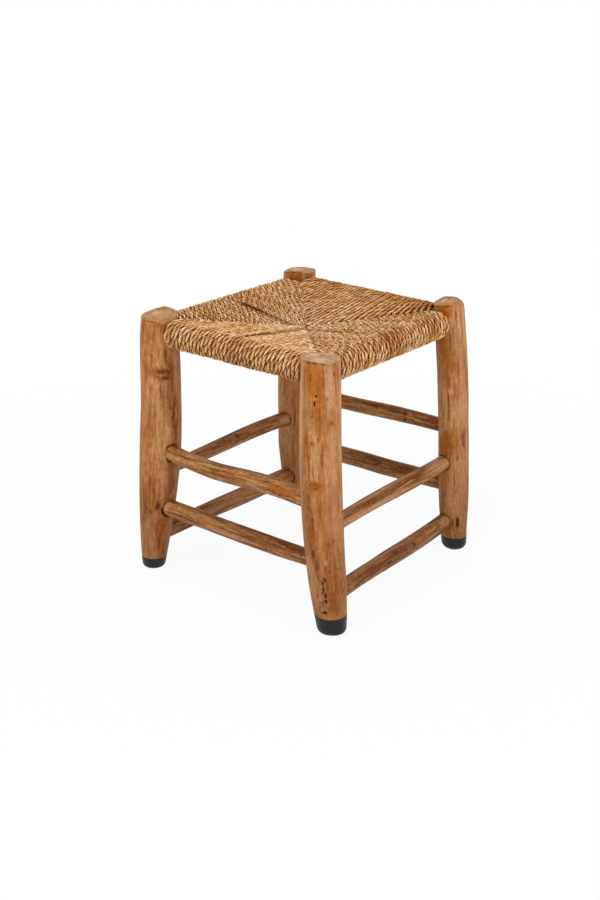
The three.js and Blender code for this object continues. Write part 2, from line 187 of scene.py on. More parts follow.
# Closed tubes pinched shut at both ends, all in one mesh. Each tube is an array of rings of points,
# and each mark an array with a value or a vector for every one of those points.
def tubeMesh(name, tubes, marks, material):
    points, faces3, faces4, uvs3, uvs4 = [], [], [], [], []
    values = {key: [] for key in marks}
    base = 0
    for index, rings in enumerate(tubes):
        rows, columns = rings.shape[:2]
        points += [rings.reshape(-1, 3), rings[:1].mean(1), rings[-1:].mean(1)]
        for key, mark in marks.items():
            each = mark[index].reshape(rows, columns, -1)
            values[key] += [each.reshape(rows * columns, -1), each[:1].mean(1), each[-1:].mean(1)]
        row, column = np.meshgrid(np.arange(rows - 1), np.arange(columns), indexing="ij")
        quads = [(row + down) * columns + (column + right) % columns for down, right in quadCorners]
        faces4.append(np.stack(quads, -1).reshape(-1, 4) + base)
        size = np.linalg.norm(rings - rings.mean(1, keepdims=True), axis=2).mean(1)
        step = np.linalg.norm(np.diff(rings.mean(1), axis=0), axis=1)
        step = step + unwrapping["flare"] * np.abs(np.diff(size)) + unwrapping["least"]
        free = unwrapping["ends"]
        run = free + (1 - 2 * free) * np.concatenate([[0], np.cumsum(step)]) / step.sum()
        free = unwrapping["sides"]
        strip = (index + free + (1 - 2 * free) * np.arange(columns + 1) / columns) / len(tubes)
        uvs = [np.stack([run[row + down], strip[column + right]], -1) for down, right in quadCorners]
        uvs4.append(np.stack(uvs, 2).reshape(-1, 2))
        around = np.arange(columns)
        last = (rows - 1) * columns
        ends = [(rows * columns, (around + 1) % columns, around, 0.0, run[0], 1, 0),
                (rows * columns + 1, last + around, last + (around + 1) % columns, 1.0, run[-1], 0, 1)]
        for centre, first, second, tip, foot, stepA, stepB in ends:
            faces3.append(np.stack([np.full(columns, centre), first, second], 1) + base)
            uvs = [(tip, strip[around] / 2 + strip[around + 1] / 2), (foot, strip[around + stepA]),
                   (foot, strip[around + stepB])]
            uvs = [np.stack([np.full(columns, along), across], -1) for along, across in uvs]
            uvs3.append(np.stack(uvs, 1).reshape(-1, 2))
        base += rows * columns + 2
    points = np.concatenate(points)
    quads, fans = np.concatenate(faces4), np.concatenate(faces3)
    mesh = bpy.data.meshes.new(name)
    mesh.vertices.add(len(points))
    mesh.vertices.foreach_set("co", points.astype(np.float32).ravel())
    corners = np.concatenate([quads.ravel(), fans.ravel()])
    mesh.loops.add(len(corners))
    mesh.loops.foreach_set("vertex_index", corners.astype(np.int32))
    sizes = np.concatenate([np.full(len(quads), 4), np.full(len(fans), 3)])
    mesh.polygons.add(len(sizes))
    mesh.polygons.foreach_set("loop_start", (np.cumsum(sizes) - sizes).astype(np.int32))
    mesh.polygons.foreach_set("loop_total", sizes.astype(np.int32))
    mesh.polygons.foreach_set("use_smooth", np.ones(len(sizes), bool))
    layer = mesh.uv_layers.new(name="OFBake")
    layer.data.foreach_set("uv", np.concatenate(uvs4 + uvs3).astype(np.float32).ravel())
    for key, found in values.items():
        found = np.concatenate(found).astype(np.float32)
        wide = found.shape[1] == 3
        attribute = mesh.attributes.new(key, "FLOAT_VECTOR" if wide else "FLOAT", "POINT")
        attribute.data.foreach_set("vector" if wide else "value", found.ravel())
    mesh.materials.append(material)
    mesh.update(calc_edges=True)
    piece = bpy.data.objects.new(name, mesh)
    bpy.context.scene.collection.objects.link(piece)
    return piece


def addPiece(piece, slot, *nodes):
    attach(piece, "root")
    if nodes:
        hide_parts(*nodes)


# Materials. A colour is written as it looks, two hex digits for each of red, green and blue.
def colour(code):
    levels = [int(code[place:place + 2], 16) / 255 for place in (0, 2, 4)]
    return [level / 12.92 if level < 0.04045 else ((level + 0.055) / 1.055) ** 2.4 for level in levels] + [1]


def newMaterial(name):
    material = bpy.data.materials.new(name)
    material.use_nodes = True
    return material, material.node_tree, material.node_tree.nodes["Principled BSDF"]


def setSocket(tree, socket, value):
    if isinstance(value, bpy.types.NodeSocket):
        tree.links.new(value, socket)
    else:
        socket.default_value = value


# Adds a node. Sockets take a value or another node's output, and a name in settings is a property.
def put(tree, kind, sockets=None, **settings):
    node = tree.nodes.new(kind)
    for key, value in settings.items():
        setattr(node, key, value)
    for key, value in (sockets or {}).items():
        setSocket(tree, node.inputs[key], value)
    return node


def readMark(tree, name, output="Vector"):
    return put(tree, "ShaderNodeAttribute", attribute_name=name).outputs[output]


def position(tree):
    return put(tree, "ShaderNodeNewGeometry").outputs["Position"]


def split(tree, vector):
    parts = put(tree, "ShaderNodeSeparateXYZ", {0: vector})
    return [parts.outputs[axis] for axis in "XYZ"]


def scaled(tree, vector, x, y, z):
    return put(tree, "ShaderNodeVectorMath", {0: vector, 1: (x, y, z)}, operation="MULTIPLY").outputs[0]


def noise(tree, vector, scale, detail=3.0, rough=0.55, bend=0.0):
    return put(tree, "ShaderNodeTexNoise", {"Vector": vector, "Scale": scale, "Detail": detail,
                                            "Roughness": rough, "Distortion": bend}).outputs["Fac"]


def ramp(tree, value, *stops):
    node = put(tree, "ShaderNodeValToRGB", {"Fac": value})
    while len(node.color_ramp.elements) < len(stops):
        node.color_ramp.elements.new(0.5)
    for element, (place, code) in zip(node.color_ramp.elements, stops):
        element.position = place
        element.color = colour(code)
    return node.outputs["Color"]


def spread(tree, value, low, high, toLow=0.0, toHigh=1.0):
    return put(tree, "ShaderNodeMapRange", {"Value": value, "From Min": low, "From Max": high,
                                            "To Min": toLow, "To Max": toHigh},
               interpolation_type="SMOOTHSTEP").outputs["Result"]


def mix(tree, share, first, second, blend="MIX"):
    node = put(tree, "ShaderNodeMix", data_type="RGBA", blend_type=blend)
    for place, value in ((0, share), (6, first), (7, second)):
        setSocket(tree, node.inputs[place], value)
    return node.outputs[2]


def math2(tree, operation, first, second):
    return put(tree, "ShaderNodeMath", {0: first, 1: second}, operation=operation).outputs[0]


# The sum of values, each times its share.
def added(tree, *terms):
    parts = [math2(tree, "MULTIPLY", value, share) for value, share in terms]
    total = parts[0]
    for part in parts[1:]:
        total = math2(tree, "ADD", total, part)
    return total


# Lays colours over a base, each where a noise goes from one value to another: noise, none below,
# full above, how much at full, and the colour's name in the look.
def layered(tree, base, look, layers):
    for value, low, high, share, name in layers:
        base = mix(tree, spread(tree, value, low, high, 0, share), base, colour(look[name]))
    return base


def addBump(tree, shader, height, strength, distance):
    bump = put(tree, "ShaderNodeBump", {"Height": height, "Strength": strength, "Distance": distance})
    tree.links.new(bump.outputs["Normal"], shader.inputs["Normal"])


# The noises of the wood: whether it bends with the grain, how much slower it changes along the
# grain, and its scale, detail, roughness and distortion.
woodNoises = {
    "patches": (False, 0.4, 24.0, 4.0, 0.65, 0.4),
    "blush": (False, 0.3, 34.0, 3.0, 0.5, 0.0),
    "mottle": (False, 0.6, 210.0, 4.0, 0.75, 0.6),
    "bands": (True, 0.075, 170.0, 4.0, 0.7, 0.4),
    "lines": (True, 0.05, 300.0, 2.0, 0.6, 0.3),
    "blots": (False, 1, 95.0, 4.0, 0.65, 0.5),
    "sawMarks": (False, 1, 420.0, 4.0, 0.7, 0.0),
}

# Greys laid over the colours of the wood.
woodGreys = {
    "fibres": ((0.3, "6c6c6c"), (0.5, "b4b4b4"), (0.7, "e8e8e8")),
    "mottle": ((0.36, "5c5c5c"), (0.5, "a8a8a8"), (0.62, "e8e8e8")),
    "grit": ((0.38, "505050"), (0.5, "a0a0a0"), (0.62, "e0e0e0")),
    "sawMarks": ((0.3, "646464"), (0.5, "b0b0b0"), (0.7, "e0e0e0")),
}


# Debarked wood. The grain runs along z of the mark "grain". The mark "stain" holds how dark, amber and pale
# a spot is, where dark is also painted shade in the mortises and the cracks, and "sawn" how far it is end
# grain.
def woodMaterial(name, look):
    material, tree, shader = newMaterial(name)
    grain = readMark(tree, "grain")
    dark, amber, pale = split(tree, readMark(tree, "stain"))
    sawn = readMark(tree, "sawn", "Fac")
    wave = put(tree, "ShaderNodeTexNoise", {"Vector": scaled(tree, grain, 1, 1, look["waveLength"]),
                                            "Scale": look["waveScale"], "Detail": 2.0})
    bent = put(tree, "ShaderNodeVectorMath", {0: wave.outputs["Color"], 1: (0.5, 0.5, 0.5)},
               operation="SUBTRACT").outputs[0]
    bent = scaled(tree, bent, look["waveReach"], look["waveReach"], 0)
    flow = put(tree, "ShaderNodeVectorMath", {0: grain, 1: bent}, operation="ADD").outputs[0]
    found = {}
    for key, (bending, length, *rest) in {**woodNoises, **look["noises"]}.items():
        vector = flow if bending else grain
        found[key] = noise(tree, vector if length == 1 else scaled(tree, vector, 1, 1, length), *rest)
    patches, bands, flecks, lines = (found[key] for key in ("patches", "bands", "flecks", "lines"))
    base = layered(tree, ramp(tree, found["streaks"], *look["streaks"]), look, [
        (found["blush"], 0.44, 0.62, 0.6, "pink"),
        (patches, 0.5, 0.64, 0.7, "pale"),
        (patches, 0.47, 0.36, look["amberShare"], "amber"),
        (bands, 0.53, 0.66, look["bandShare"], "band"),
        (bands, 0.46, 0.34, 0.4, "light"),
        (flecks, 0.55, 0.68, look["fleckShare"], "fleck"),
        (lines, 0.57, 0.64, look["lineShare"], "fleck"),
        (lines, 0.43, 0.36, look["lineShare"], "light"),
    ])
    for key, share in (("fibres", 0.25), ("mottle", look["mottleShare"])):
        base = mix(tree, share, base, ramp(tree, found[key], *woodGreys[key]), "OVERLAY")
    specks = put(tree, "ShaderNodeTexVoronoi", {"Vector": scaled(tree, grain, 1, 1, 0.45), "Scale": 85.0})
    few = put(tree, "ShaderNodeSeparateColor", {0: specks.outputs["Color"]}).outputs[0]
    few = spread(tree, few, 0.86, 0.9, 0, 0.75)
    speck = math2(tree, "MULTIPLY", spread(tree, specks.outputs["Distance"], 0.13, 0.06), few)
    base = mix(tree, speck, base, colour(look["dark"]))
    # spots keep the grit of the wood under them
    grit = added(tree, (found["fibres"], 0.4), (found["mottle"], 0.6))
    grit = ramp(tree, grit, *woodGreys["grit"])
    amberSpot = mix(tree, 0.5, colour(look["amberSpot"]), grit, "OVERLAY")
    amberSpot = layered(tree, amberSpot, look, [(bands, 0.52, 0.64, 0.6, "fleck"),
                                                (flecks, 0.55, 0.66, 0.5, "fleck")])
    paleSpot = mix(tree, 0.2, colour(look["paleSpot"]), grit, "OVERLAY")
    # the dark colour lays on dark stains and the painted shade in mortises and cracks
    for share, spot in ((amber, amberSpot), (pale, paleSpot), (dark, colour(look["dark"]))):
        base = mix(tree, share, base, spot)
    rings = put(tree, "ShaderNodeTexWave", {"Vector": scaled(tree, flow, 1, 1, 0), "Scale": 210.0,
                                            "Distortion": 2.2, "Detail": 3.0, "Detail Scale": 0.6},
                wave_type="RINGS", rings_direction="Z").outputs["Fac"]
    ends = ramp(tree, rings, (0.0, look["endDark"]), (0.45, look["end"]), (1.0, look["endLight"]))
    ends = layered(tree, ends, look, [(found["blots"], 0.5, 0.64, 0.8, "endGrey"),
                                      (found["blots"], 0.47, 0.36, 0.8, "endBrown")])
    ends = mix(tree, 0.55, ends, ramp(tree, found["sawMarks"], *woodGreys["sawMarks"]), "OVERLAY")
    dimmed = math2(tree, "MULTIPLY", dark, 0.8)
    for share, spot in ((amber, "endAmber"), (pale, "endPale"), (dimmed, "dark")):
        ends = mix(tree, share, ends, colour(look[spot]))
    # painted shade: the wood is darkened towards the floor
    floorShade = spread(tree, split(tree, position(tree))[2], look["floorShadeHeight"], 0.0, 0.0, 1.0)
    base = mix(tree, floorShade, base, mix(tree, 1.0, base, colour(look["floorShade"]), "MULTIPLY"))
    tree.links.new(mix(tree, sawn, base, ends), shader.inputs["Base Color"])
    shader.inputs["Specular IOR Level"].default_value = look["shine"]
    rough = spread(tree, found["fibres"], 0.3, 0.7, look["rough"] - 0.08, look["rough"] + 0.1)
    rough = put(tree, "ShaderNodeMath", {0: sawn, 1: 0.22, 2: rough}, operation="MULTIPLY_ADD").outputs[0]
    tree.links.new(rough, shader.inputs["Roughness"])
    height = added(tree, (found["fibres"], 0.5), (bands, 0.7), (flecks, 0.6), (found["mottle"], 0.3),
                   (dark, -0.6))
    addBump(tree, shader, height, 0.5, look["bump"])
    return material


legLook = {
    "waveScale": 22.0,
    "waveLength": 0.25,
    "waveReach": 0.012,
    "noises": {  # as in woodNoises
        "streaks": (True, 0.2, 48.0, 4.0, 0.65, 0.3),
        "flecks": (True, 0.3, 300.0, 3.0, 0.7, 0.6),
        "fibres": (True, 0.06, 620.0, 4.0, 0.7, 0.0),
    },
    "streaks": [(0.34, "84491a"), (0.43, "a56a30"), (0.5, "b77b42"), (0.57, "c0874f"), (0.68, "9f6330")],
    "pink": "b67e4f",
    "pale": "c6925d",
    "light": "c6915a",
    "amber": "9f5919",
    "amberShare": 0.85,
    "amberSpot": "b0600a",
    "paleSpot": "c89870",
    "band": "8c5023",
    "bandShare": 0.5,
    "fleck": "7a4318",
    "fleckShare": 0.3,
    "lineShare": 0.4,
    "mottleShare": 0.27,
    "dark": "431c06",
    # painted shade towards the floor: the colour that darkens the wood, up to this height
    "floorShade": "d4c9bd",
    "floorShadeHeight": 0.34,
    "end": "ba926b",
    "endLight": "c9a580",
    "endDark": "916640",
    "endGrey": "b0977b",
    "endBrown": "a27145",
    "endAmber": "9c6a3a",
    "endPale": "d3ad8c",
    "rough": 0.5,
    "shine": 0.16,
    "bump": 0.0014,
}
stretcherLook = dict(legLook)
stretcherLook.update({
    "noises": {
        "streaks": (True, 0.1, 62.0, 4.0, 0.65, 0.3),
        "flecks": (True, 0.12, 300.0, 3.0, 0.7, 0.6),
        "fibres": (True, 0.03, 620.0, 4.0, 0.7, 0.0),
    },
    "streaks": [(0.34, "5a2d0d"), (0.43, "8c5322"), (0.5, "a66b34"), (0.58, "b97f46"), (0.7, "835022")],
    "pink": "b07b4a",
    "pale": "c39058",
    "light": "cc9b62",
    "amber": "874a15",
    "band": "5a3013",
    "bandShare": 0.8,
    "fleck": "5a2f10",
    "fleckShare": 0.5,
    "lineShare": 0.7,
    "mottleShare": 0.42,
    # painted shade towards the floor
    "floorShade": "d8cdc0",
})
legWood = woodMaterial("legWood", legLook)
stretcherWood = woodMaterial("stretcherWood", stretcherLook)

cordLook = {
    "fibres": [(0.37, "96521a"), (0.44, "ca8c45"), (0.50, "e4af6d"), (0.56, "f3c78c"), (0.64, "fbe0b3")],
    "orange": "b06422",
    "straw": "e2b678",
    "dull": "bd8740",
    # "gap" and "slit" are painted shade: in the grooves of the cord and in the slits where turns have parted
    "gap": "7a390b",
    "slit": "34120a",
    "shine": 0.04,
    "bump": 0.0012,
}


# Twisted palm leaf. "ply" runs along z of the strand, "lay" is how far out in the light a point is, and
# where it is low the colour "gap" is laid on as painted shade. "tone" holds each strand's own tone, its
# orange and the painted shade of a parting's slit.
def cordMaterial(name, look):
    material, tree, shader = newMaterial(name)
    ply = readMark(tree, "ply")
    lay = readMark(tree, "lay", "Fac")
    tone, orange, slitShade = split(tree, readMark(tree, "tone"))
    leaf = noise(tree, scaled(tree, ply, 1, 1, 0.06), 760.0, 2.0, 0.5)
    fine = noise(tree, scaled(tree, ply, 1, 1, 0.05), 2100.0, 3.0, 0.6)
    patches = noise(tree, scaled(tree, ply, 1, 1, 0.6), 90.0, 2.0)
    base = ramp(tree, added(tree, (leaf, 0.8), (fine, 0.25), (tone, 0.1)), *look["fibres"])
    base = layered(tree, base, look, [(patches, 0.55, 0.72, 0.4, "straw"),
                                      (patches, 0.42, 0.28, 0.35, "dull")])
    base = mix(tree, orange, base, colour(look["orange"]))
    # painted shade in the grooves and between the turns, then in the slits of the partings
    base = layered(tree, base, look, [(lay, 0.9, 0.1, 0.85, "gap")])
    base = mix(tree, slitShade, base, colour(look["slit"]))
    tree.links.new(base, shader.inputs["Base Color"])
    shader.inputs["Specular IOR Level"].default_value = look["shine"]
    tree.links.new(spread(tree, leaf, 0.3, 0.7, 0.62, 0.82), shader.inputs["Roughness"])
    addBump(tree, shader, added(tree, (leaf, 1.0), (fine, 0.35)), 0.8, look["bump"])
    return material


palmCord = cordMaterial("palmCord", cordLook)


footLook = {
    "blacks": [(0.3, "0c0908"), (0.55, "130f0d"), (0.72, "271f1a")],
    "drips": "4a3f37",
    "shine": 0.3,
    "bump": 0.0012,
}


def footMaterial(name, look):
    material, tree, shader = newMaterial(name)
    grain = readMark(tree, "grain")
    wear = noise(tree, grain, 130.0, 4.0, 0.65)
    drips = noise(tree, scaled(tree, grain, 1, 1, 0.2), 260.0, 3.0)
    base = layered(tree, ramp(tree, wear, *look["blacks"]), look, [(drips, 0.6, 0.72, 0.5, "drips")])
    tree.links.new(base, shader.inputs["Base Color"])
    shader.inputs["Specular IOR Level"].default_value = look["shine"]
    tree.links.new(spread(tree, wear, 0.3, 0.7, 0.36, 0.52), shader.inputs["Roughness"])
    addBump(tree, shader, added(tree, (wear, 1.0), (drips, 0.5)), 0.4, look["bump"])
    return material


footBlack = footMaterial("footBlack", footLook)
print("materials made")


# Sticks between two legs, read from their solids: the axis, both shoulders and the body's sections.
def readStick(name, stepLength=0.003):
    points = nodePoints(name)
    low, high = points.min(0), points.max(0)
    along = np.eye(3)[np.argmax((high - low)[:2])]
    for _ in range(3):
        place = points @ along
        start = points[place < place.min() + 0.001].mean(0)
        end = points[place > place.max() - 0.001].mean(0)
        along = unit(end - start)
    length = np.linalg.norm(end - start)
    across = unit(np.cross(zAxis, along))
    up = np.cross(along, across)
    edges = nodeEdges(name)
    places = np.arange(0.001, length - 0.001, stepLength)
    sections = np.array([readSection(edges, start, along, across, up, place) for place in places])
    return {"start": start, "along": along, "across": across, "up": up, "length": length,
            "places": places, "sections": sections}


# Where the radius leaves the tenon's at both ends.
def findShoulders(stick):
    tenon = stick["sections"][:3, 2].mean()
    thick = stick["places"][stick["sections"][:, 2] > tenon + 0.0006]
    return tenon, thick[0], thick[-1]


stretcherNames = ["front_upper", "front_lower", "right_upper", "right_lower",
                  "back_upper", "back_lower", "left_upper", "left_lower"]
sticks = {f"stretcher_{name}": readStick(f"stretcher_{name}") for name in stretcherNames}
rails = {name: readStick(f"seat_rail_{name}") for name in ("front", "right", "back", "left")}
for stick in [*sticks.values(), *rails.values()]:
    stick["tenon"], stick["shoulderA"], stick["shoulderB"] = findShoulders(stick)
print("sticks read from the frame")

legDetail = {
    "columns": 168,
    "sideRows": 400,
    "edgeRows": 7,
    "topRows": 16,
    "tiltLength": 0.03,
    "holeNear": 0.03,  # a stick that ends nearer the middle of a leg than this is in that leg
    "holeSlack": 0.0009,
    "holeFit": 0.0003,
    "holeFloor": 0.0001,  # a wall this little above the floor of a hole still counts as inside it
    "snap": 0.0008,
    "scrape": 0.00035,  # how deep the drawknife's flats are
    "waver": 0.0004,
    "ridges": 0.00016,
    "chatter": 0.00035,  # of the saw
    "crackWidth": 0.0007,
    "crackDepth": 0.0008,
    "crackBend": 0.25,
    "crackEnd": 0.2,
    "crackShade": 0.7,
    "wornFrom": 0.012,  # wear starts this far below the sawn edge
    "wornRagged": 0.08,
    "wornPower": 1.2,
    "topWaver": 0.0005,
    "paleShare": 0.75,
    "slackShadeSide": (0, -0.55, -0.83),  # painted shade in the slack round a stick is darkest below it and in front of it
    # the mortises of the front stretchers are cut too wide in the left leg
    "wideBy": 0.0007,
    "wideAside": 0.0009,
    "wideBelow": 0.0006,
    "capWall": 0.0033,
    "capRagged": 0.0007,
    "capProud": 0.0002,
    "capLip": 0.0006,
}

# Marks on the legs, by kind: place as a share of the leg's height, turn in degrees, and the mark's
# height and width in millimetres. Turn -90 faces the front and 0 the right side.
legMarks = {
    "front_left": {
        "amber": [(0.96, -15, 16, 20), (0.972, -38, 7, 15)],
        "glow": [(0.945, -75, 16, 18), (0.86, -88, 50, 6), (0.7, -12, 90, 12), (0.42, -10, 50, 7),
                 (0.52, -84, 30, 4)],
        "streak": [(0.95, -106, 13, 2), (0.984, -66, 1.6, 16), (0.85, -29, 16, 4.4),
                   (0.845, -70, 16, 2.6), (0.815, -20, 14, 4), (0.83, -92, 18, 1.8),
                   (0.74, -12, 20, 2.6), (0.71, -46, 25, 1.8), (0.655, -6, 40, 3.6), (0.61, -14, 12, 2),
                   (0.56, -2, 30, 3), (0.45, -20, 20, 1.6), (0.35, -75, 18, 1.4), (0.29, -48, 15, 3.2),
                   (0.64, -9, 22, 3.2), (0.162, -43, 10, 1.6)],
        "whorl": [(0.797, -35, 4.6, 15), (0.774, -34, 4.2, 12), (0.786, -22, 9, 5),
                  (0.35, 150, 10, 14)],
        "pale": [(0.82, 2, 50, 5), (0.765, -70, 7, 7)],
        "shade": [(0.71, -24, 45, 8), (0.42, -12, 60, 8)],
        "dark": [(0.694, -94, 2.8, 1.6), (0.655, -19, 3.5, 1.8), (0.272, -47, 8.5, 4.4),
                 (0.63, -8, 14, 1.8), (0.58, -8, 4, 3)],
        "wash": [(0.36, -38, 50, 4)],
    },
    "front_right": {
        "amber": [(0.937, -71, 30, 20), (0.845, -60, 36, 6), (0.7, -93, 30, 8), (0.39, -88, 30, 7)],
        "streak": [(0.992, -68, 2.4, 22), (0.945, -81, 6, 1.8), (0.925, -44, 22, 1.6),
                   (0.82, -73, 10, 1.1), (0.8, -55, 30, 1.1), (0.93, -103, 26, 1.6),
                   (0.735, -58, 6, 1.4), (0.7, -47, 8, 1.3), (0.655, -49, 14, 1.7), (0.72, -77, 3, 4),
                   (0.62, -86, 20, 1.5), (0.48, -60, 20, 1.6), (0.42, -80, 30, 2), (0.9, -5, 20, 1.2)],
        "pit": [(0.858, -69, 5, 1.7), (0.884, -65, 2, 1.8), (0.226, -59, 4.2, 2.2),
                (0.211, -68, 5, 1.5), (0.188, -66, 6, 1.9), (0.166, -61, 5, 2.2),
                (0.143, -62, 3.2, 2.6), (0.098, -70, 3, 5)],
        "pale": [(0.72, -121, 160, 6), (0.29, -50, 5, 4), (0.91, -28, 50, 9), (0.86, 18, 100, 6)],
        "brush": [(0.569, -69, 7.8, 11.5)],
        "dark": [(0.317, -88, 7, 2.8), (0.176, -70, 3, 1.6), (0.955, -12, 4, 1.6)],
        "curl": [(0.127, -78, 6, 6), (0.122, -62, 6, 6)],
        "wash": [(0.6, -20, 140, 10)],
        "shade": [(0.735, -99, 20, 6), (0.47, -104, 70, 10), (0.62, -112, 50, 6)],
        "knot": [(0.79, -22, 4, 4), (0.875, -36, 3, 3)],
    },
    "back_right": {
        "amber": [(0.966, -73, 14, 14), (0.84, -85, 50, 10), (0.42, -95, 40, 10)],
        "streak": [(0.955, -32, 16, 2.2), (0.95, -10, 30, 1.6), (0.989, -70, 1.6, 18),
                   (0.478, -21, 16, 5), (0.4, -42, 8, 1.4), (0.6, -75, 30, 1.8), (0.74, -35, 30, 1.8),
                   (0.86, -60, 20, 1.4), (0.3, -55, 20, 1.4)],
        "pale": [(0.93, -20, 30, 4), (0.93, 2, 40, 5), (0.665, -65, 6, 6)],
        "wash": [(0.62, -22, 160, 13), (0.25, -28, 100, 16), (0.2, -70, 40, 8)],
        "knot": [(0.478, -21, 16, 4)],
        "dark": [(0.452, -17, 8, 1.6), (0.128, -62, 8, 1.4)],
        "pit": [(0.127, -41, 14, 3.4)],
    },
    "back_left": {
        "amber": [(0.962, -62, 14, 18), (0.945, -80, 20, 10), (0.55, -80, 50, 8)],
        "whorl": [(0.62, 120, 10, 12), (0.27, 200, 12, 12)],
        "streak": [(0.955, -25, 16, 3.6), (0.989, -68, 1.6, 18), (0.84, -50, 14, 2.6),
                   (0.7, -60, 40, 2), (0.4, -50, 30, 1.6)],
        "pale": [(0.95, 8, 20, 7), (0.72, -62, 100, 4), (0.8, -35, 120, 6)],
        "wash": [(0.5, -30, 200, 15), (0.45, -72, 180, 8)],
        "glow": [(0.975, -40, 11, 30)],
        "shade": [(0.97, -45, 12, 34)],
    },
}


# Each sawn top: how far it is domed, how brown and how sawn it looks, pale spots as turn in degrees,
# share of the radius and size, worn corners as turn, the share of the radius where the wear starts,
# and how far it drops by the rim, and cracks as turn and share of the radius.
legTops = {
    "front_left": {
        "dome": 0.0034, "amber": 0.75, "sawn": 0.55, "cracks": [(130, 0.8)],
        "worn": [(-8, 0.3, 0.008), (170, 0.5, 0.002), (60, 0.55, 0.003)],
        "pale": [(-75, 0.25, 0.01)],
    },
    "front_right": {
        "dome": 0.0016, "amber": 0.0, "sawn": 1.0, "cracks": [(20, 0.7), (215, 0.5)],
        "worn": [(-12, 0.6, 0.0028), (110, 0.6, 0.0025)],
        "pale": [(-60, 0.7, 0.012), (100, 0.9, 0.016), (190, 0.4, 0.012)],
    },
    "back_right": {
        "dome": 0.0052, "amber": 0.75, "sawn": 0.8, "cracks": [(75, 0.75), (-60, 0.5)],
        "worn": [(35, 0.6, 0.003), (-140, 0.15, 0.006)],
        "pale": [(-95, 0.55, 0.005)],
    },
    "back_left": {
        "dome": 0.0034, "amber": 0.35, "sawn": 0.85, "cracks": [(160, 0.85)],
        "worn": [(-5, 0.6, 0.003), (190, 0.6, 0.002), (-135, 0.4, 0.003)],
        "pale": [(90, 0.9, 0.012), (-70, 0.5, 0.011)],
    },
}

darkStainAndShade, amberStain, paleStain = range(3)

# How each kind of mark stains the wood: which stain and how strongly, how far its edge follows the
# streaks and the grit of the wood, and where it ends and is full, in sizes of the mark.
markEdges = {
    "amber": [(amberStain, 0.88, 0.3, 0.15, 1.25, 0.6)],
    "glow": [(amberStain, 0.45, 0.3, 0.15, 1.25, 0.6)],
    "wash": [(paleStain, 0.34, 0.5, 0.2, 1.3, 0.4)],
    "shade": [(darkStainAndShade, 0.34, 0.5, 0.2, 1.3, 0.4)],
    "pale": [(paleStain, 0.7, 0.35, 0, 1.3, 0.4)],
    "streak": [(darkStainAndShade, 0.62, 0.5, 0.3, 1.3, 0.2)],
    "bark": [(darkStainAndShade, 0.5, 0.6, 0.5, 1.25, 0.1), (amberStain, 0.45, 0.4, 0, 1.5, 0.5)],
    "dark": [(darkStainAndShade, 0.85, 0, 0.3, 1.15, 0.55)],
    "pit": [(darkStainAndShade, 1, 0, 0.3, 1.15, 0.55)],
    "brush": [(amberStain, 0.95, 0, 0.3, 1.7, 0.7)],
    "whorl": [(darkStainAndShade, 0.8, 0.3, 0.6, 1.3, 0.2)],
}
# The amber halo round a mark: how strong and how wide.
markHalos = {
    "streak": (0.55, 1.5), "dark": (0.5, 1.7), "pit": (0.5, 1.7), "whorl": (0.85, 1.7), "knot": (0.7, 1.7),
}
# How deep a mark is sunk, how far its edge follows the grit, and where it ends and is full.
markDents = {
    "streak": (0.0004, 0, 1.2, 0.3), "dark": (0.0005, 0.3, 1.15, 0.55), "pit": (0.0017, 0.2, 1.1, 0.5),
}
markHeights = {"bark": 0.0002, "curl": 0.0007, "whorl": 0.0008, "knot": 0.0008, "knotRing": 0.0004}
bendingMarks = ("pit", "whorl", "knot", "dark")  # the grain runs round these


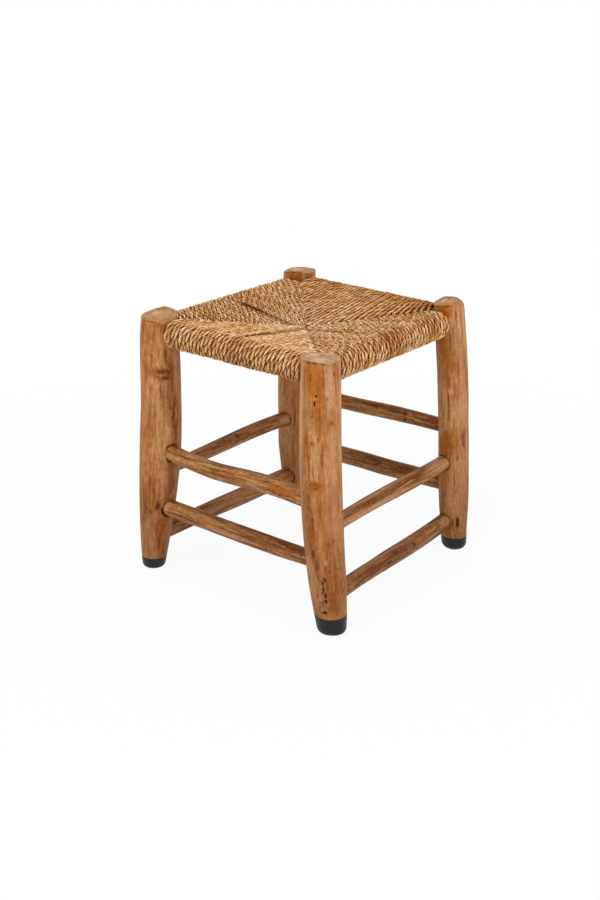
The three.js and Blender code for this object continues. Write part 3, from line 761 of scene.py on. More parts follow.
# A piece of wood's stain (dark, amber, pale) from its marks, its rise and its grain's sideways bend.
def markWood(marks, around, height, top, girth, seed):
    stain = np.zeros(around.shape + (3,))
    rise = np.zeros_like(around)
    bend = np.zeros_like(around)
    place = roundPoints(around, girth, height)
    grit = softNoise(place, 0.0035, seed) + 0.5 * softNoise(place, 0.0016, seed + 1)
    streaky = softNoise(place * np.array([1, 1, 0.12]), 0.0028, seed + 2)

    def addStain(which, share):
        stain[..., which] = np.maximum(stain[..., which], share)

    for kind, *size in [(kind, *mark) for kind, found in marks.items() for mark in found]:
        share, turn, high, wide = size[0], size[1], size[2] / 1000, size[3] / 1000
        sideways = turnGap(around, math.radians(turn)) * girth
        upward = height - share * top
        gap = np.hypot(sideways / wide, upward / high)
        for which, strength, toStreaks, toGrit, end, full in markEdges.get(kind, []):
            addStain(which, strength * fade(gap + toStreaks * streaky + toGrit * grit, end, full))
        if kind in markHalos:
            strength, reach = markHalos[kind]
            halo = np.exp(-(gap / reach) ** 2)
            addStain(amberStain, strength * halo)
        if kind in markDents:
            depth, toGrit, end, full = markDents[kind]
            rise -= depth * fade(gap + toGrit * grit, end, full)
        if kind == "bark":
            rise += markHeights[kind] * grit * fade(gap, 1.2, 0.6)
        if kind == "brush":
            strokes = fade(np.sin((upward - 0.6 * sideways) * 1100 + 3 * grit) + 0.5 * grit, -0.5, 0.6)
            addStain(darkStainAndShade, 0.6 * strokes * fade(gap + 0.5 * grit, 1.3, 0.4))
        if kind == "curl":
            loop = np.exp(-((gap - 0.75 + 0.35 * grit) / 0.3) ** 2) * fade(streaky + grit, -0.5, 0.4)
            addStain(darkStainAndShade, 0.7 * loop)
            rise -= markHeights[kind] * loop
        if kind == "whorl":
            addStain(darkStainAndShade, 0.4 * halo)
            rise += markHeights[kind] * (halo - fade(gap + 0.6 * grit + 0.3 * streaky, 1.3, 0.2))
        if kind == "knot":
            ring = np.exp(-((gap - 0.8 + 0.3 * grit) / 0.35) ** 2)
            heart = np.exp(-((gap + 0.15 * grit) / 0.45) ** 2)
            addStain(darkStainAndShade, 0.25 * ring + 0.75 * heart)
            rise += markHeights[kind] * halo - markHeights["knotRing"] * ring
        if kind in bendingMarks:
            bend += wide * 0.8 * sideways / (np.abs(sideways) + wide) * np.exp(
                -(upward / (2.2 * high)) ** 2 - np.abs(sideways) / (3 * wide))
    return stain, rise, bend / girth


# Pushes the wall inside a round hole back to its floor and draws the nearest points onto the rim.
def carveHole(points, origin, axis, radius, floor, snap):
    away = points - origin
    depth = away @ axis
    flat = away - depth[..., None] * axis
    gap = np.maximum(np.linalg.norm(flat, axis=-1), 1e-9)
    facing = depth > floor - legDetail["holeFloor"]
    rim = facing & (np.abs(gap - radius) < snap)
    points[rim] -= (flat / gap[..., None])[rim] * (gap - radius)[rim][:, None]
    inside = facing & (gap < radius - snap)
    points[inside] += axis * (floor - depth[inside])[:, None]
    return inside | (rim & (gap < radius))


# Every stick that ends in the leg: where, which way it leaves, and how thick it is.
def legHoles(bodyAt):
    holes = []
    for name, stick in [*sticks.items(), *((f"rail_{key}", rail) for key, rail in rails.items())]:
        ends = [(stick["start"], stick["along"], stick["shoulderA"]),
                (stick["start"] + stick["along"] * stick["length"], -stick["along"],
                 stick["length"] - stick["shoulderB"])]
        for end, inward, shoulder in ends:
            if np.linalg.norm(end[:2] - bodyAt(end[2])[0, :2]) > legDetail["holeNear"]:
                continue
            body = stick["sections"][len(stick["places"]) // 2, 2]
            if name.startswith("stretcher_front") and end is stick["start"]:
                end = end - legDetail["wideAside"] * stick["across"] - legDetail["wideBelow"] * stick["up"]
                body += legDetail["wideBy"]
            holes.append({"end": end, "axis": inward, "shoulder": shoulder, "tenon": stick["tenon"],
                          "body": body, "rail": name.startswith("rail")})
    return holes


legTurns = np.arange(legDetail["columns"]) / legDetail["columns"] * 2 * np.pi
unitRound = roundPoints(legTurns, 1, legTurns * 0)


# What a leg's solids give: how its round body runs, the tilted plane of its sawn top as a height and
# two slopes, the round of its edges, and the floor of its foot cap.
def readLeg(name):
    edges = nodeEdges(f"leg_{name}", f"foot_cap_{name}")
    legPoints, capPoints = nodePoints(f"leg_{name}"), nodePoints(f"foot_cap_{name}")
    top = legPoints[:, 2].max()
    places = np.arange(0.018, top - 0.016, 0.004)
    sections = np.array([readSection(edges, np.zeros(3), zAxis, xAxis, yAxis, place) for place in places])

    def bodyAt(height):
        return smoothAlong(places, sections, np.atleast_1d(height), 0.013)

    def reach(points, centre):
        return np.linalg.norm(points[:, :2] - centre, axis=1)

    centre, rim, foot = bodyAt(top - 0.003)[0, :2], bodyAt(top)[0, 2], bodyAt(0.0)[0]
    near = legPoints[legPoints[:, 2] > top - 0.012]
    flat = near[reach(near, centre) < rim - 0.0012]
    columns = np.column_stack([np.ones(len(flat)), flat[:, :2] - centre])
    floor = np.unique(np.round(capPoints[:, 2], 5))
    return {
        "name": name, "bodyAt": bodyAt, "top": top, "rim": rim, "edge": rim - reach(flat, centre).max(),
        "plane": np.linalg.lstsq(columns, flat[:, 2], rcond=None)[0],
        "footRound": foot[2] - reach(capPoints[capPoints[:, 2] < 0.0002], foot[:2]).max(),
        "capTop": capPoints[:, 2].max(), "capFloor": floor[floor > 0.004][0],
    }


# Rings of the leg's surface at these heights, this far inside it. Relief is 1, or 0 for none.
def legSurface(leg, seed, height, inset, relief):
    around = np.broadcast_to(legTurns, height.shape)
    rows = leg["bodyAt"](height.mean(1))
    girth = rows[:, 2:3]
    place = roundPoints(around, girth, height)
    flats = softNoise(place * np.array([1, 1, 0.10]), 0.014, seed + 3)
    waver = softNoise(place * np.array([1, 1, 0.45]), 0.03, seed + 4)
    ridges = softNoise(place * np.array([1, 1, 0.06]), 0.0035, seed + 5)
    stain, rise, bend = markWood(legMarks[leg["name"]], around, height, leg["top"], girth, seed + 20)
    radius = addLobes(girth, rows, around)
    radius = radius + legDetail["scrape"] * (np.abs(flats) * 2 - 0.8) + legDetail["waver"] * waver
    radius = radius + legDetail["ridges"] * ridges + rise * relief - inset
    points = roundPoints(around, radius, height)
    points[..., :2] += rows[:, None, :2]
    tilting = fade(height, leg["top"] - legDetail["tiltLength"], leg["top"])
    points[..., 2] += tilting * ((points[..., :2] - rows[:, None, :2]) @ leg["plane"][1:])
    return points, roundPoints(around + bend, girth, height) + seed * 0.7, stain


# The sawn face inside the leg's last ring, with the saw's chatter and the cracks.
def sawnFace(leg, seed, lastRing, lastGrain):
    shares = np.linspace(1, 0.04, legDetail["topRows"] + 1)[1:, None, None]
    face = lastRing.mean(0) + (lastRing - lastRing.mean(0)) * shares
    face[..., 2] += legDetail["chatter"] * softNoise(face * np.array([1, 0.35, 0]) + seed, 0.004, seed + 7)
    cracks = np.zeros(face.shape[:2])
    toRim = shares[..., 0]
    for crackTurn, length in legTops[leg["name"]]["cracks"]:
        bentTurn = math.radians(crackTurn) + legDetail["crackBend"] * toRim
        sideways = turnGap(legTurns[None], bentTurn) * toRim * leg["rim"]
        crack = np.exp(-(sideways / legDetail["crackWidth"]) ** 2)
        cracks = np.maximum(cracks, crack * fade(toRim, length, length - legDetail["crackEnd"]))
    face[..., 2] -= legDetail["crackDepth"] * cracks
    stain = np.zeros(face.shape)
    # the cracks are sunk and also darkened with painted shade
    stain[..., darkStainAndShade] = legDetail["crackShade"] * cracks
    return face, lastGrain.mean(0) + (lastGrain - lastGrain.mean(0)) * shares, stain


# Domes and wears the top down, and tells how far each point is end grain.
def wearTop(leg, seed, points, stain, middle, bodyTop):
    look = legTops[leg["name"]]
    away = (points[..., :2] - middle[:2]) / leg["rim"]
    upper = fade(points[..., 2], bodyTop - legDetail["wornFrom"], bodyTop + leg["edge"])
    worn = upper * look["dome"] * (1 - np.clip((away ** 2).sum(-1), 0, 1))
    for wornTurn, start, drop in look["worn"]:
        out = away @ heading(wornTurn) + legDetail["wornRagged"] * softNoise(points, 0.006, seed + 11)
        worn -= upper * drop * np.clip((out - start) / (1 - start), 0, 1.2) ** legDetail["wornPower"]
    points[..., 2] += worn + upper * legDetail["topWaver"] * softNoise(points, 0.009, seed + 12)
    edgeStart = 2 + legDetail["sideRows"]
    faceStart = edgeStart + legDetail["edgeRows"]
    sawn = np.zeros(points.shape[:2])
    sawn[edgeStart:faceStart] = fade(np.linspace(0, 1, legDetail["edgeRows"]), 0.2, 0.8)[:, None]
    sawn[faceStart:] = 1
    browned = softNoise(points, 0.012, seed + 13) + 0.5 * softNoise(points, 0.004, seed + 15)
    browned = fade(browned, 0.5, -0.5) * look["amber"]
    blot = softNoise(points, 0.005, seed + 16)
    spots = [(amberStain, browned)]
    for paleTurn, share, size in look["pale"]:
        gap = np.linalg.norm(away - share * heading(paleTurn), axis=-1) * leg["rim"] / size
        spots.append((paleStain, legDetail["paleShare"] * fade(gap + 0.4 * blot, 1.2, 0.4)))
    for which, spot in spots:
        stain[edgeStart:, :, which] = np.maximum(stain[edgeStart:, :, which], spot[edgeStart:])
    return sawn * np.clip(look["sawn"] + 0.3 * (1 - look["sawn"]) * blot, 0, 1)


def cutMortises(leg, points, stain):
    for hole in legHoles(leg["bodyAt"]):
        if not hole["rail"]:
            dark = carveHole(points, hole["end"], hole["axis"], hole["body"] + legDetail["holeSlack"],
                             hole["shoulder"] - legDetail["holeFit"], legDetail["snap"])
            # painted shade in the slack round a stick, darkest below it and in front of it, over an amber
            # wall
            below = (points - hole["end"]) @ np.array(legDetail["slackShadeSide"]) / hole["body"]
            stain[..., darkStainAndShade] = np.where(dark, 0.3 + 0.6 * fade(below, -0.3, 0.5), stain[..., darkStainAndShade])
            stain[..., amberStain] = np.where(dark, 0.5, stain[..., amberStain])
        carveHole(points, hole["end"], hole["axis"], hole["tenon"] + legDetail["holeFit"],
                  -legDetail["holeFit"], legDetail["snap"])


# The parts put together, for each of these places in them.
def joined(parts, *places):
    return [np.concatenate([part[place] for part in parts]) for place in places]


def buildLeg(name, seed):
    leg = readLeg(name)
    edge, fit = leg["edge"], legDetail["holeFit"]
    edgeShape = edge * (1 + 0.3 * softNoise(unitRound, 0.6, seed + 9))
    capEdge = leg["capTop"] + legDetail["capRagged"] * softNoise(unitRound, 0.35, seed + 6)
    bodyTop = leg["plane"][0] - edge
    stem = np.stack([np.full_like(legTurns, leg["capFloor"] + fit), capEdge + fit])
    steps = np.linspace(0, 1, legDetail["sideRows"])[:, None]
    side = (capEdge + fit)[None] * (1 - steps) + bodyTop * steps
    quarter = np.linspace(0, np.pi / 2, legDetail["edgeRows"] + 1)[1:, None]
    rounding = bodyTop + edge * np.sin(quarter) + 0 * legTurns
    parts = [legSurface(leg, seed, stem, legDetail["capWall"], 0.0), legSurface(leg, seed, side, 0.0, 1.0),
             legSurface(leg, seed, rounding, edgeShape * (1 - np.cos(quarter)), 1.0)]
    lastRing, lastGrain = parts[-1][0][-1], parts[-1][1][-1]
    parts.append(sawnFace(leg, seed, lastRing, lastGrain))
    points, grain, stain = joined(parts, 0, 1, 2)
    sawn = wearTop(leg, seed, points, stain, lastRing.mean(0), bodyTop)
    cutMortises(leg, points, stain)
    marks = {"grain": [grain], "stain": [stain], "sawn": [sawn]}
    addPiece(tubeMesh(f"leg_{name}_wood", [points], marks, legWood), "leg_wood", f"leg_{name}")
    buildCap(leg, seed, capEdge)


def buildCap(leg, seed, capEdge):
    foot, proud, lip = leg["footRound"], legDetail["capProud"], legDetail["capLip"]
    inside = legDetail["capWall"] - legDetail["holeFit"]
    quarter = np.linspace(np.pi / 2, 0, 9)[:, None]
    steps = np.linspace(0, 1, 16)[1:, None]
    rows = [  # heights and insets: the rounded floor, the wall, the lip and the inner floor
        (foot * (1 - np.sin(quarter)) + 0 * legTurns, foot * (1 - np.cos(quarter)) - proud),
        (foot * (1 - steps) + (capEdge - lip)[None] * steps, -proud),
        (np.stack([capEdge, capEdge - lip / 2]), np.array([[lip], [inside]])),
        (np.full((1, len(legTurns)), leg["capFloor"]), inside),
    ]
    points, grain = joined([legSurface(leg, seed, height, inset, 0.0) for height, inset in rows], 0, 1)
    points[0, :, 2] = 0.0
    points[..., 2] = np.where(points[..., 2] < 0.0002, 0.0, points[..., 2])
    cap = tubeMesh(f"foot_cap_{leg['name']}_black", [points], {"grain": [grain]}, footBlack)
    addPiece(cap, "foot_rubber", f"foot_cap_{leg['name']}")


for index, name in enumerate(legMarks):
    buildLeg(name, index + 1)
print("legs and feet made")

stretcherDetail = {
    "columns": 72,
    "step": 0.0013,
    "shoulder": 0.006,  # the length over which the body narrows to its tenon
    "calm": 0.02,  # and over which the flats fade out
    "flats": 9,
    "flatShare": 0.5,
    "waver": 0.00035,
    "roughness": 0.0002,
    "relief": 0.7,  # of its marks
}

# Marks on the stretchers, by kind: place along, turn in degrees, length and width in millimetres.
# Turn 90 is the top side, 180 the outer one of the front and right stretchers.
stretcherMarks = {
    "front_upper": {
        "streak": [(0.5, 88, 110, 2.2), (0.38, 150, 45, 1.4), (0.46, 175, 50, 1.8),
                   (0.66, 140, 40, 1.2)],
        "pale": [(0.06, 140, 12, 12)],
        "amber": [(0.8, 165, 30, 6)],
        "knot": [(0.25, 20, 4, 4)],
    },
    "front_lower": {
        "streak": [(0.28, 95, 50, 2.6), (0.72, 92, 70, 2), (0.55, 160, 50, 1.2)],
        "dark": [(0.13, 122, 1.8, 1.4), (0.9, 150, 2.4, 1.6)],
        "pale": [(0.06, 140, 14, 12), (0.45, 190, 60, 4)],
    },
    "right_upper": {
        "bark": [(0.33, 138, 100, 4.8), (0.6, 115, 50, 3.2)],
        "pale": [(0.32, 185, 100, 5.6), (0.86, 140, 44, 11), (0.4, 95, 120, 3)],
        "streak": [(0.8, 150, 30, 1.4), (0.4, 150, 60, 1.8), (0.66, 170, 30, 1.2)],
    },
    "right_lower": {
        "bark": [(0.36, 142, 110, 5.8), (0.62, 158, 50, 5)],
        "pale": [(0.34, 92, 100, 4), (0.92, 130, 26, 9)],
        "dark": [(0.62, 150, 6, 4), (0.47, 128, 9, 2.6), (0.4, 166, 12, 3), (0.545, 152, 5, 3.4)],
        "shade": [(0.42, 155, 150, 12)],
        "streak": [(0.45, 195, 60, 1.4)],
        "glow": [(0.36, 140, 130, 11)],
    },
    "back_upper": {
        "bark": [(0.68, 112, 110, 3.6), (0.93, 130, 20, 5)],
        "dark": [(0.735, 140, 3, 6), (0.74, 190, 4, 3), (0.48, 130, 4, 1.8)],
        "pale": [(0.765, 140, 6, 5)],
    },
    "back_lower": {
        "bark": [(0.62, 105, 100, 3.6), (0.88, 130, 45, 5.5)],
        "streak": [(0.5, 165, 50, 1.4)],
    },
    "left_upper": {
        "streak": [(0.5, 92, 120, 2.4)],
        "dark": [(0.52, 125, 5, 2.8)],
        "bark": [(0.42, 150, 50, 3)],
        "pale": [(0.9, 150, 20, 6)],
    },
    "left_lower": {
        "streak": [(0.5, 92, 100, 1.8)],
        "wash": [(0.5, 150, 160, 12)],
        "pale": [(0.42, 160, 80, 6)],
        "knot": [(0.7, -80, 4, 4)],
        "amber": [(0.93, 150, 12, 10)],
    },
}


# Where a stretcher's rings stand, how far each has grown from tenon to body, and their sections.
def stretcherRings(stick):
    shoulder = stretcherDetail["shoulder"]
    bodyStart, bodyEnd = stick["shoulderA"] + shoulder, stick["shoulderB"] - shoulder
    solid = (stick["places"] > bodyStart + 0.001) & (stick["places"] < bodyEnd - 0.001)
    body = np.arange(bodyStart, bodyEnd, stretcherDetail["step"])
    rows = smoothAlong(stick["places"][solid], stick["sections"][solid], body, 0.022)
    dome = np.linspace(0, np.pi / 2, 9)[:-1]
    places = np.concatenate([
        [0.0, stick["shoulderA"] - 0.0001], bodyStart - shoulder * np.cos(dome), body,
        bodyEnd + shoulder * np.sin(dome[1:]), [stick["shoulderB"] + 0.0001, stick["length"]],
    ])
    growth = np.concatenate([[0, 0], np.sin(dome), np.ones(len(body)), np.cos(dome[1:]), [0, 0]])
    before, after = np.repeat(rows[:1], 2 + len(dome), 0), np.repeat(rows[-1:], 1 + len(dome), 0)
    return places, growth[:, None], np.concatenate([before, rows, after])


# How far the whittled flats lie inside or outside the round, as a share of its radius.
def whittled(ring, around, places, seed):
    drift = 0.5 * softNoise(np.stack([places, places * 0 + seed, places * 0], -1), 0.09, seed)[:, None]
    warped = around + drift + 0.3 * np.sin(2 * around + seed) + 0.18 * np.sin(3 * around + 2.1 * seed)
    width = 2 * np.pi / stretcherDetail["flats"]
    flat = np.cos(width / 2) / np.cos(np.mod(warped, width) - width / 2)
    uneven = 1 + 0.5 * softNoise(ring * np.array([1, 1, 0.2]), 0.02, seed + 1)
    return stretcherDetail["flatShare"] * uneven * (flat / 0.98 - 1)


def buildStretcher(name, seed):
    detail, stick = stretcherDetail, sticks[f"stretcher_{name}"]
    places, growth, sections = stretcherRings(stick)
    turn = np.arange(detail["columns"]) / detail["columns"] * 2 * np.pi
    around = np.broadcast_to(turn, (len(places), len(turn)))
    height = places[:, None] + 0 * around
    girth = sections[:, 2:3]
    ring = roundPoints(around, girth, height)
    stain, rise, bend = markWood(stretcherMarks[name], around, height, stick["length"], girth, seed + 40)
    waver = softNoise(ring * np.array([1, 1, 0.3]), 0.018, seed + 2)
    grit = softNoise(ring * np.array([1, 1, 0.06]), 0.003, seed + 3)
    relief = detail["waver"] * waver + detail["roughness"] * grit + detail["relief"] * rise
    fromEnd = np.minimum(places - stick["shoulderA"], stick["shoulderB"] - places)
    centred = np.clip(fromEnd / detail["calm"], 0, 1)[:, None]
    radius = girth * (1 + centred * whittled(ring, around, places, seed)) + centred * relief
    radius = addLobes(radius, sections, around)
    radius = stick["tenon"] + (radius - stick["tenon"]) * growth
    aside = (sections[:, :1] * stick["across"] + sections[:, 1:2] * stick["up"]) * growth
    axes = np.stack([stick["across"], stick["up"], stick["along"]])
    points = stick["start"] + aside[:, None] + roundPoints(around, radius, height) @ axes
    sawn = np.zeros(around.shape)
    sawn[:2], sawn[-2:] = 1, 1
    grain = roundPoints(around + bend, girth, height) + 3.1 * seed
    marks = {"grain": [grain], "stain": [stain], "sawn": [sawn]}
    addPiece(tubeMesh(f"stretcher_{name}_wood", [points], marks, stretcherWood), "stretcher_wood",
             f"stretcher_{name}")


for index, name in enumerate(stretcherNames):
    buildStretcher(name, index + 11)
print("stretchers made")


# The rails stay as packed, under the cord, with raw wood on them.
def rawWoodMaterial(name):
    material, tree, shader = newMaterial(name)
    streaks = noise(tree, scaled(tree, position(tree), 0.5, 0.5, 1), 160.0, 4.0, 0.6)
    base = ramp(tree, streaks, (0.3, "6b4522"), (0.5, "8c643b"), (0.7, "a88156"))
    setSocket(tree, shader.inputs["Base Color"], base)
    setSocket(tree, shader.inputs["Roughness"], spread(tree, streaks, 0.3, 0.7, 0.7, 0.85))
    addBump(tree, shader, streaks, 0.5, 0.001)
    return material


rawWood = rawWoodMaterial("rawWood")
for name in rails:
    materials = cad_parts[f"seat_rail_{name}"].data.materials
    materials.clear()
    materials.append(rawWood)

seat = {
    "cord": 0.0083,  # as wound: neighbours press on each other
    # the length of one full twist, and how much it differs from turn to turn
    "pitch": {"front": 0.030, "right": 0.029, "back": 0.041, "left": 0.025},
    "pitchSpread": (0.87, 1.13),
    "turns": 35,  # on each side
    "step": 0.00236,
    "columns": 12,
    "flatStep": 0.001,
    "aroundSteps": 60,
    "aroundShare": 1.1,  # stands for round the rail, where 0 is the middle and 1 level with the rail
    "wound": 0.82,  # share of the winding's reach beyond which only cord is found
    "swell": 0.0007,
    "dip": 1.2,  # the power of the slope from the rail down to the middle
    "lean": 1.5,  # and of the way a turn's inner end bends to its mitre
    # the end of a turn dives between the layers
    "dive": 0.006,
    "diveDepth": 0.0024,
    "crossShift": (0.004, -0.008),  # the mitres meet a little off the middle
    "legClear": 0.031,
    # how far the ends reach past the mitre, first at the side's start and then at its end
    "past": {
        "front": (0.003, -0.001), "right": (0.003, 0.003),
        "back": (-0.001, -0.001), "left": (0.003, -0.001),
    },
    # how dark the painted shade between two turns is
    "sideLine": {"front": 0.42, "right": 0.46, "back": 0.7, "left": 0.30},
    # how far the cord strays along a turn, and from turn to turn
    "sideways": 0.0006,
    "upward": 0.0004,
    "sidewaysTurn": 0.0002,
    "upwardTurn": 0.00012,
    "thickness": 0.06,
    "twist": 0.9,
    # painted shade between the turns grows towards the mitres, where they draw apart, most of all on the one
    # to the back right leg
    "apart": 0.4,
    "apartAtLeg": 0.6,
    "apartReach": (0.034, 0.004),
    "ending": (0.007, 0.001),  # the very end of a turn is in painted shade, from here to here
}
# One of the cord's two strands, in thicknesses of the cord.
strand = {
    "middle": 0.235,  # from the cord's line to the strand's own
    "outward": 0.29,
    "inward": 0.21,
    "aside": 0.37,
    "ridge": 0.10,  # of its three leaf strips
    "size": 0.94,
    "grain": (0.0022, 0.0033, 1.06),  # how its leaf is laid out for the material
    "thickness": 0.12,  # how much it varies along a strand, and from strand to strand
    "spread": (0.93, 1.06),
    # painted shade between the two strands, out to here and this much less on the flat of the seat
    "groove": 0.19,
    "grooveFlat": 0.07,
    "grooveSoft": 0.18,
    # and painted shade beside the next turn, below this height, which is more where the turns draw apart
    "sideLow": -0.1,
    "sideApart": 0.3,
    "sideSoft": 0.3,
    "sideDark": 0.9,
    # painted shade in the line between a strand's leaf strips
    "stripDark": 0.7,
    # tones: of a whole turn, how much of it a strand takes, its own, and how it changes along it
    "toneTurn": 0.35,
    "toneShare": 0.6,
    "toneOwn": 0.25,
    "toneAlong": 0.5,
    "paler": 0.8,  # in the middle of the seat
    "orange": 0.6,
}

parting = {
    "outside": 0.04,  # share of the way over which a gap closes beyond its ends, and inside them
    "inside": 0.10,
    "pushed": 3.0,  # number of turns that a gap pushes aside
    "black": 0.0016,  # a gap this wide is wholly in painted shade
}
# Places where two turns have parted: side, the turn before the gap, from and to as shares of the
# way from the middle to the rail, and the gap's width.
partings = [
    ("left", 18, 0.48, 0.86, 0.0027),
    ("left", 18, 0.02, 0.60, 0.0016),
    ("left", 19, 0.05, 0.70, 0.0009),
    ("front", 17, 0.50, 1.02, 0.0027),
    ("front", 17, 0.02, 0.60, 0.0017),
    ("front", 18, 0.06, 0.70, 0.0020),
    ("front", 23, 0.45, 0.92, 0.0010),
    ("front", 20, 0.40, 0.95, 0.0010),
    ("front", 14, 0.50, 0.95, 0.0009),
    ("right", 24, 0.50, 0.95, 0.0009),
    ("right", 15, 0.1, 0.4, 0.0009),
    ("back", 18, 0.05, 0.5, 0.0009),
]

# Each side, with the one before its start and the one after its end.
seatSides = {
    "front": ("left", "right"), "right": ("front", "back"),
    "back": ("right", "left"), "left": ("back", "front"),
}


def railMeeting(first, second):
    railA, railB = rails[first], rails[second]
    ways = np.column_stack([railA["along"][:2], -railB["along"][:2]])
    share = np.linalg.solve(ways, (railB["start"] - railA["start"])[:2])
    return railA["start"] + railA["along"] * share[0]


corners = {name: (railMeeting(name, before), railMeeting(name, after))
           for name, (before, after) in seatSides.items()}
railHeight = np.mean([rail["start"][2] for rail in rails.values()])
railRadius = np.mean([rail["sections"][len(rail["places"]) // 2, 2] for rail in rails.values()])
middle = np.mean([corners[name][0] for name in seatSides], axis=0)
seatPoints = nodePoints("woven_seat")
nearMiddle = seatPoints[np.linalg.norm(seatPoints[:, :2] - middle[:2], axis=1) < 0.02]
crossPoint = middle + np.array([*seat["crossShift"], 0])
wrapReach = seatPoints[:, 2].max() - railHeight
topDip = seatPoints[:, 2].max() - nearMiddle[:, 2].max()
underDip = nearMiddle[:, 2].min() - seatPoints[:, 2].min()


# Where the winding of a side starts and ends, as shares of the way between its corners.
def windingEnds(name):
    start, end = corners[name]
    along = unit(end - start)
    away = (seatPoints - start) @ np.cross(along, zAxis)
    wound = (seatPoints - start)[away > wrapReach * seat["wound"]] @ along
    length = np.linalg.norm(end - start)
    return wound.min() / length, wound.max() / length


# A run over the seat, round the rail and back below. Flat holds its points level with the rail, and
# out how far each of them is on the way from the middle to the rail.
def loopRound(flat, out, railPoint, outward, half, wrap, steps, diving=0.0):
    slope = 1 - out ** seat["dip"]
    over = flat + zAxis * (half - topDip * slope - diving)[:, None]
    under = flat - zAxis * (half - underDip * slope - diving)[:, None]
    turned = np.linspace(np.pi / 2, -np.pi / 2, steps)[:, None]
    around = railPoint + (outward * np.cos(turned) + zAxis * np.sin(turned)) * wrap
    return np.concatenate([over, around, under[::-1]])


# The centre line of one turn, from the mitre over the seat, round the rail and back below.
# Its inner end lies nearer the corner than its outer one, as the leg takes up room on the rail.
def cordRun(name, turn, bed):
    start, end = corners[name]
    outward, railWay = unit(np.cross(end - start, zAxis)), unit(end - start)
    low, high = windingEnds(name)
    share = low + (high - low) * (turn + 0.5) / seat["turns"]
    railPoint = start + (end - start) * share
    nearStart = share < 0.5
    corner = start if nearStart else end
    inward = 2 * (share if nearStart else 1 - share)
    first = 2 * (low if nearStart else 1 - high)
    least = seat["legClear"] / np.linalg.norm((crossPoint - corner)[:2])
    inward = least + (inward - first) * (1 - least) / (1 - first)
    mitre = corner + (crossPoint - corner) * inward
    mitre[2] = railPoint[2] = railHeight
    flatLength = (railPoint - mitre) @ outward + seat["past"][name][0 if nearStart else 1]
    lean = (mitre - railPoint) @ railWay
    wrap = wrapReach - seat["cord"] / 2 + seat["swell"] + bed
    steps = np.linspace(0, 1, max(int(flatLength / seat["flatStep"]), 4))[:-1]
    out = 1 - inward * (1 - steps)
    flat = (railPoint - outward * (flatLength * (1 - steps))[:, None]
            + railWay * (lean * (1 - steps) ** seat["lean"])[:, None])
    diving = fade(steps * flatLength, seat["dive"], 0) * seat["diveDepth"]
    run = loopRound(flat, out, railPoint, outward, wrap, wrap, seat["aroundSteps"], diving)
    topShare = np.concatenate([out, np.full(seat["aroundSteps"], seat["aroundShare"]), out[::-1]])
    return run, topShare, railWay


# Even steps along a run, with another value carried along.
def evenly(run, step, other):
    gaps = np.linalg.norm(np.diff(run, axis=0), axis=1)
    place = np.concatenate([[0], np.cumsum(gaps)])
    wanted = np.linspace(0, place[-1], int(place[-1] / step) + 2)
    columns = [np.interp(wanted, place, column) for column in [*run.T, other]]
    return np.stack(columns[:3], 1), wanted, columns[3]


# What the partings do to a turn: how far it moves aside, how dark the painted shade in the gap beside
# it is, and which side of it the gap is on.
def partAside(name, turn, topShare):
    aside = np.zeros_like(topShare)
    dark = np.zeros_like(topShare)
    sense = np.zeros_like(topShare)
    for side, before, low, high, width in partings:
        if side != name:
            continue
        window = fade(topShare, low - parting["outside"], low + parting["inside"])
        window = window * fade(topShare, high + parting["outside"], high - parting["inside"])
        way = 1 if turn > before else -1
        ahead = turn - before if turn > before else before + 1 - turn
        aside += way * width / 2 * np.exp(-(ahead - 1) / parting["pushed"]) * window
        if ahead == 1:
            sense = np.where(window > dark, -way, sense)
            dark = np.maximum(dark, window * width / parting["black"])
    return aside, dark, sense


# Stretches of cord browner than the rest: side, first and last turn, from and to on the way from
# the middle to the rail, where more than 1 is round the rail, and how brown.
tints = [
    ("front", 18, 18, 0.03, 0.75, 0.85), ("front", 17, 21, 1.05, 1.3, 0.6), ("front", 2, 3, 0.9, 1.3, 0.5),
    ("left", 19, 19, 0.05, 0.95, 0.7), ("left", 14, 17, 0.80, 0.95, 0.25),
    ("right", 14, 19, 1.05, 1.3, 0.6), ("right", 15, 15, 0.05, 0.5, 0.6), ("right", 28, 30, 1.0, 1.3, 0.5),
    ("back", 18, 18, 0.05, 0.6, 0.5), ("back", 0, 3, 0.7, 1.3, 0.75),
]
sideTone = {"front": -0.2, "right": -0.35, "back": 0.75, "left": -0.2}  # above zero is browner


def turnTint(name, turn, topShare):
    tint = np.zeros_like(topShare)
    for side, first, last, low, high, share in tints:
        if side == name and first <= turn <= last:
            window = fade(topShare, low - 0.05, low + 0.05) * fade(topShare, high + 0.05, high - 0.05)
            tint = np.maximum(tint, window * share)
    return tint


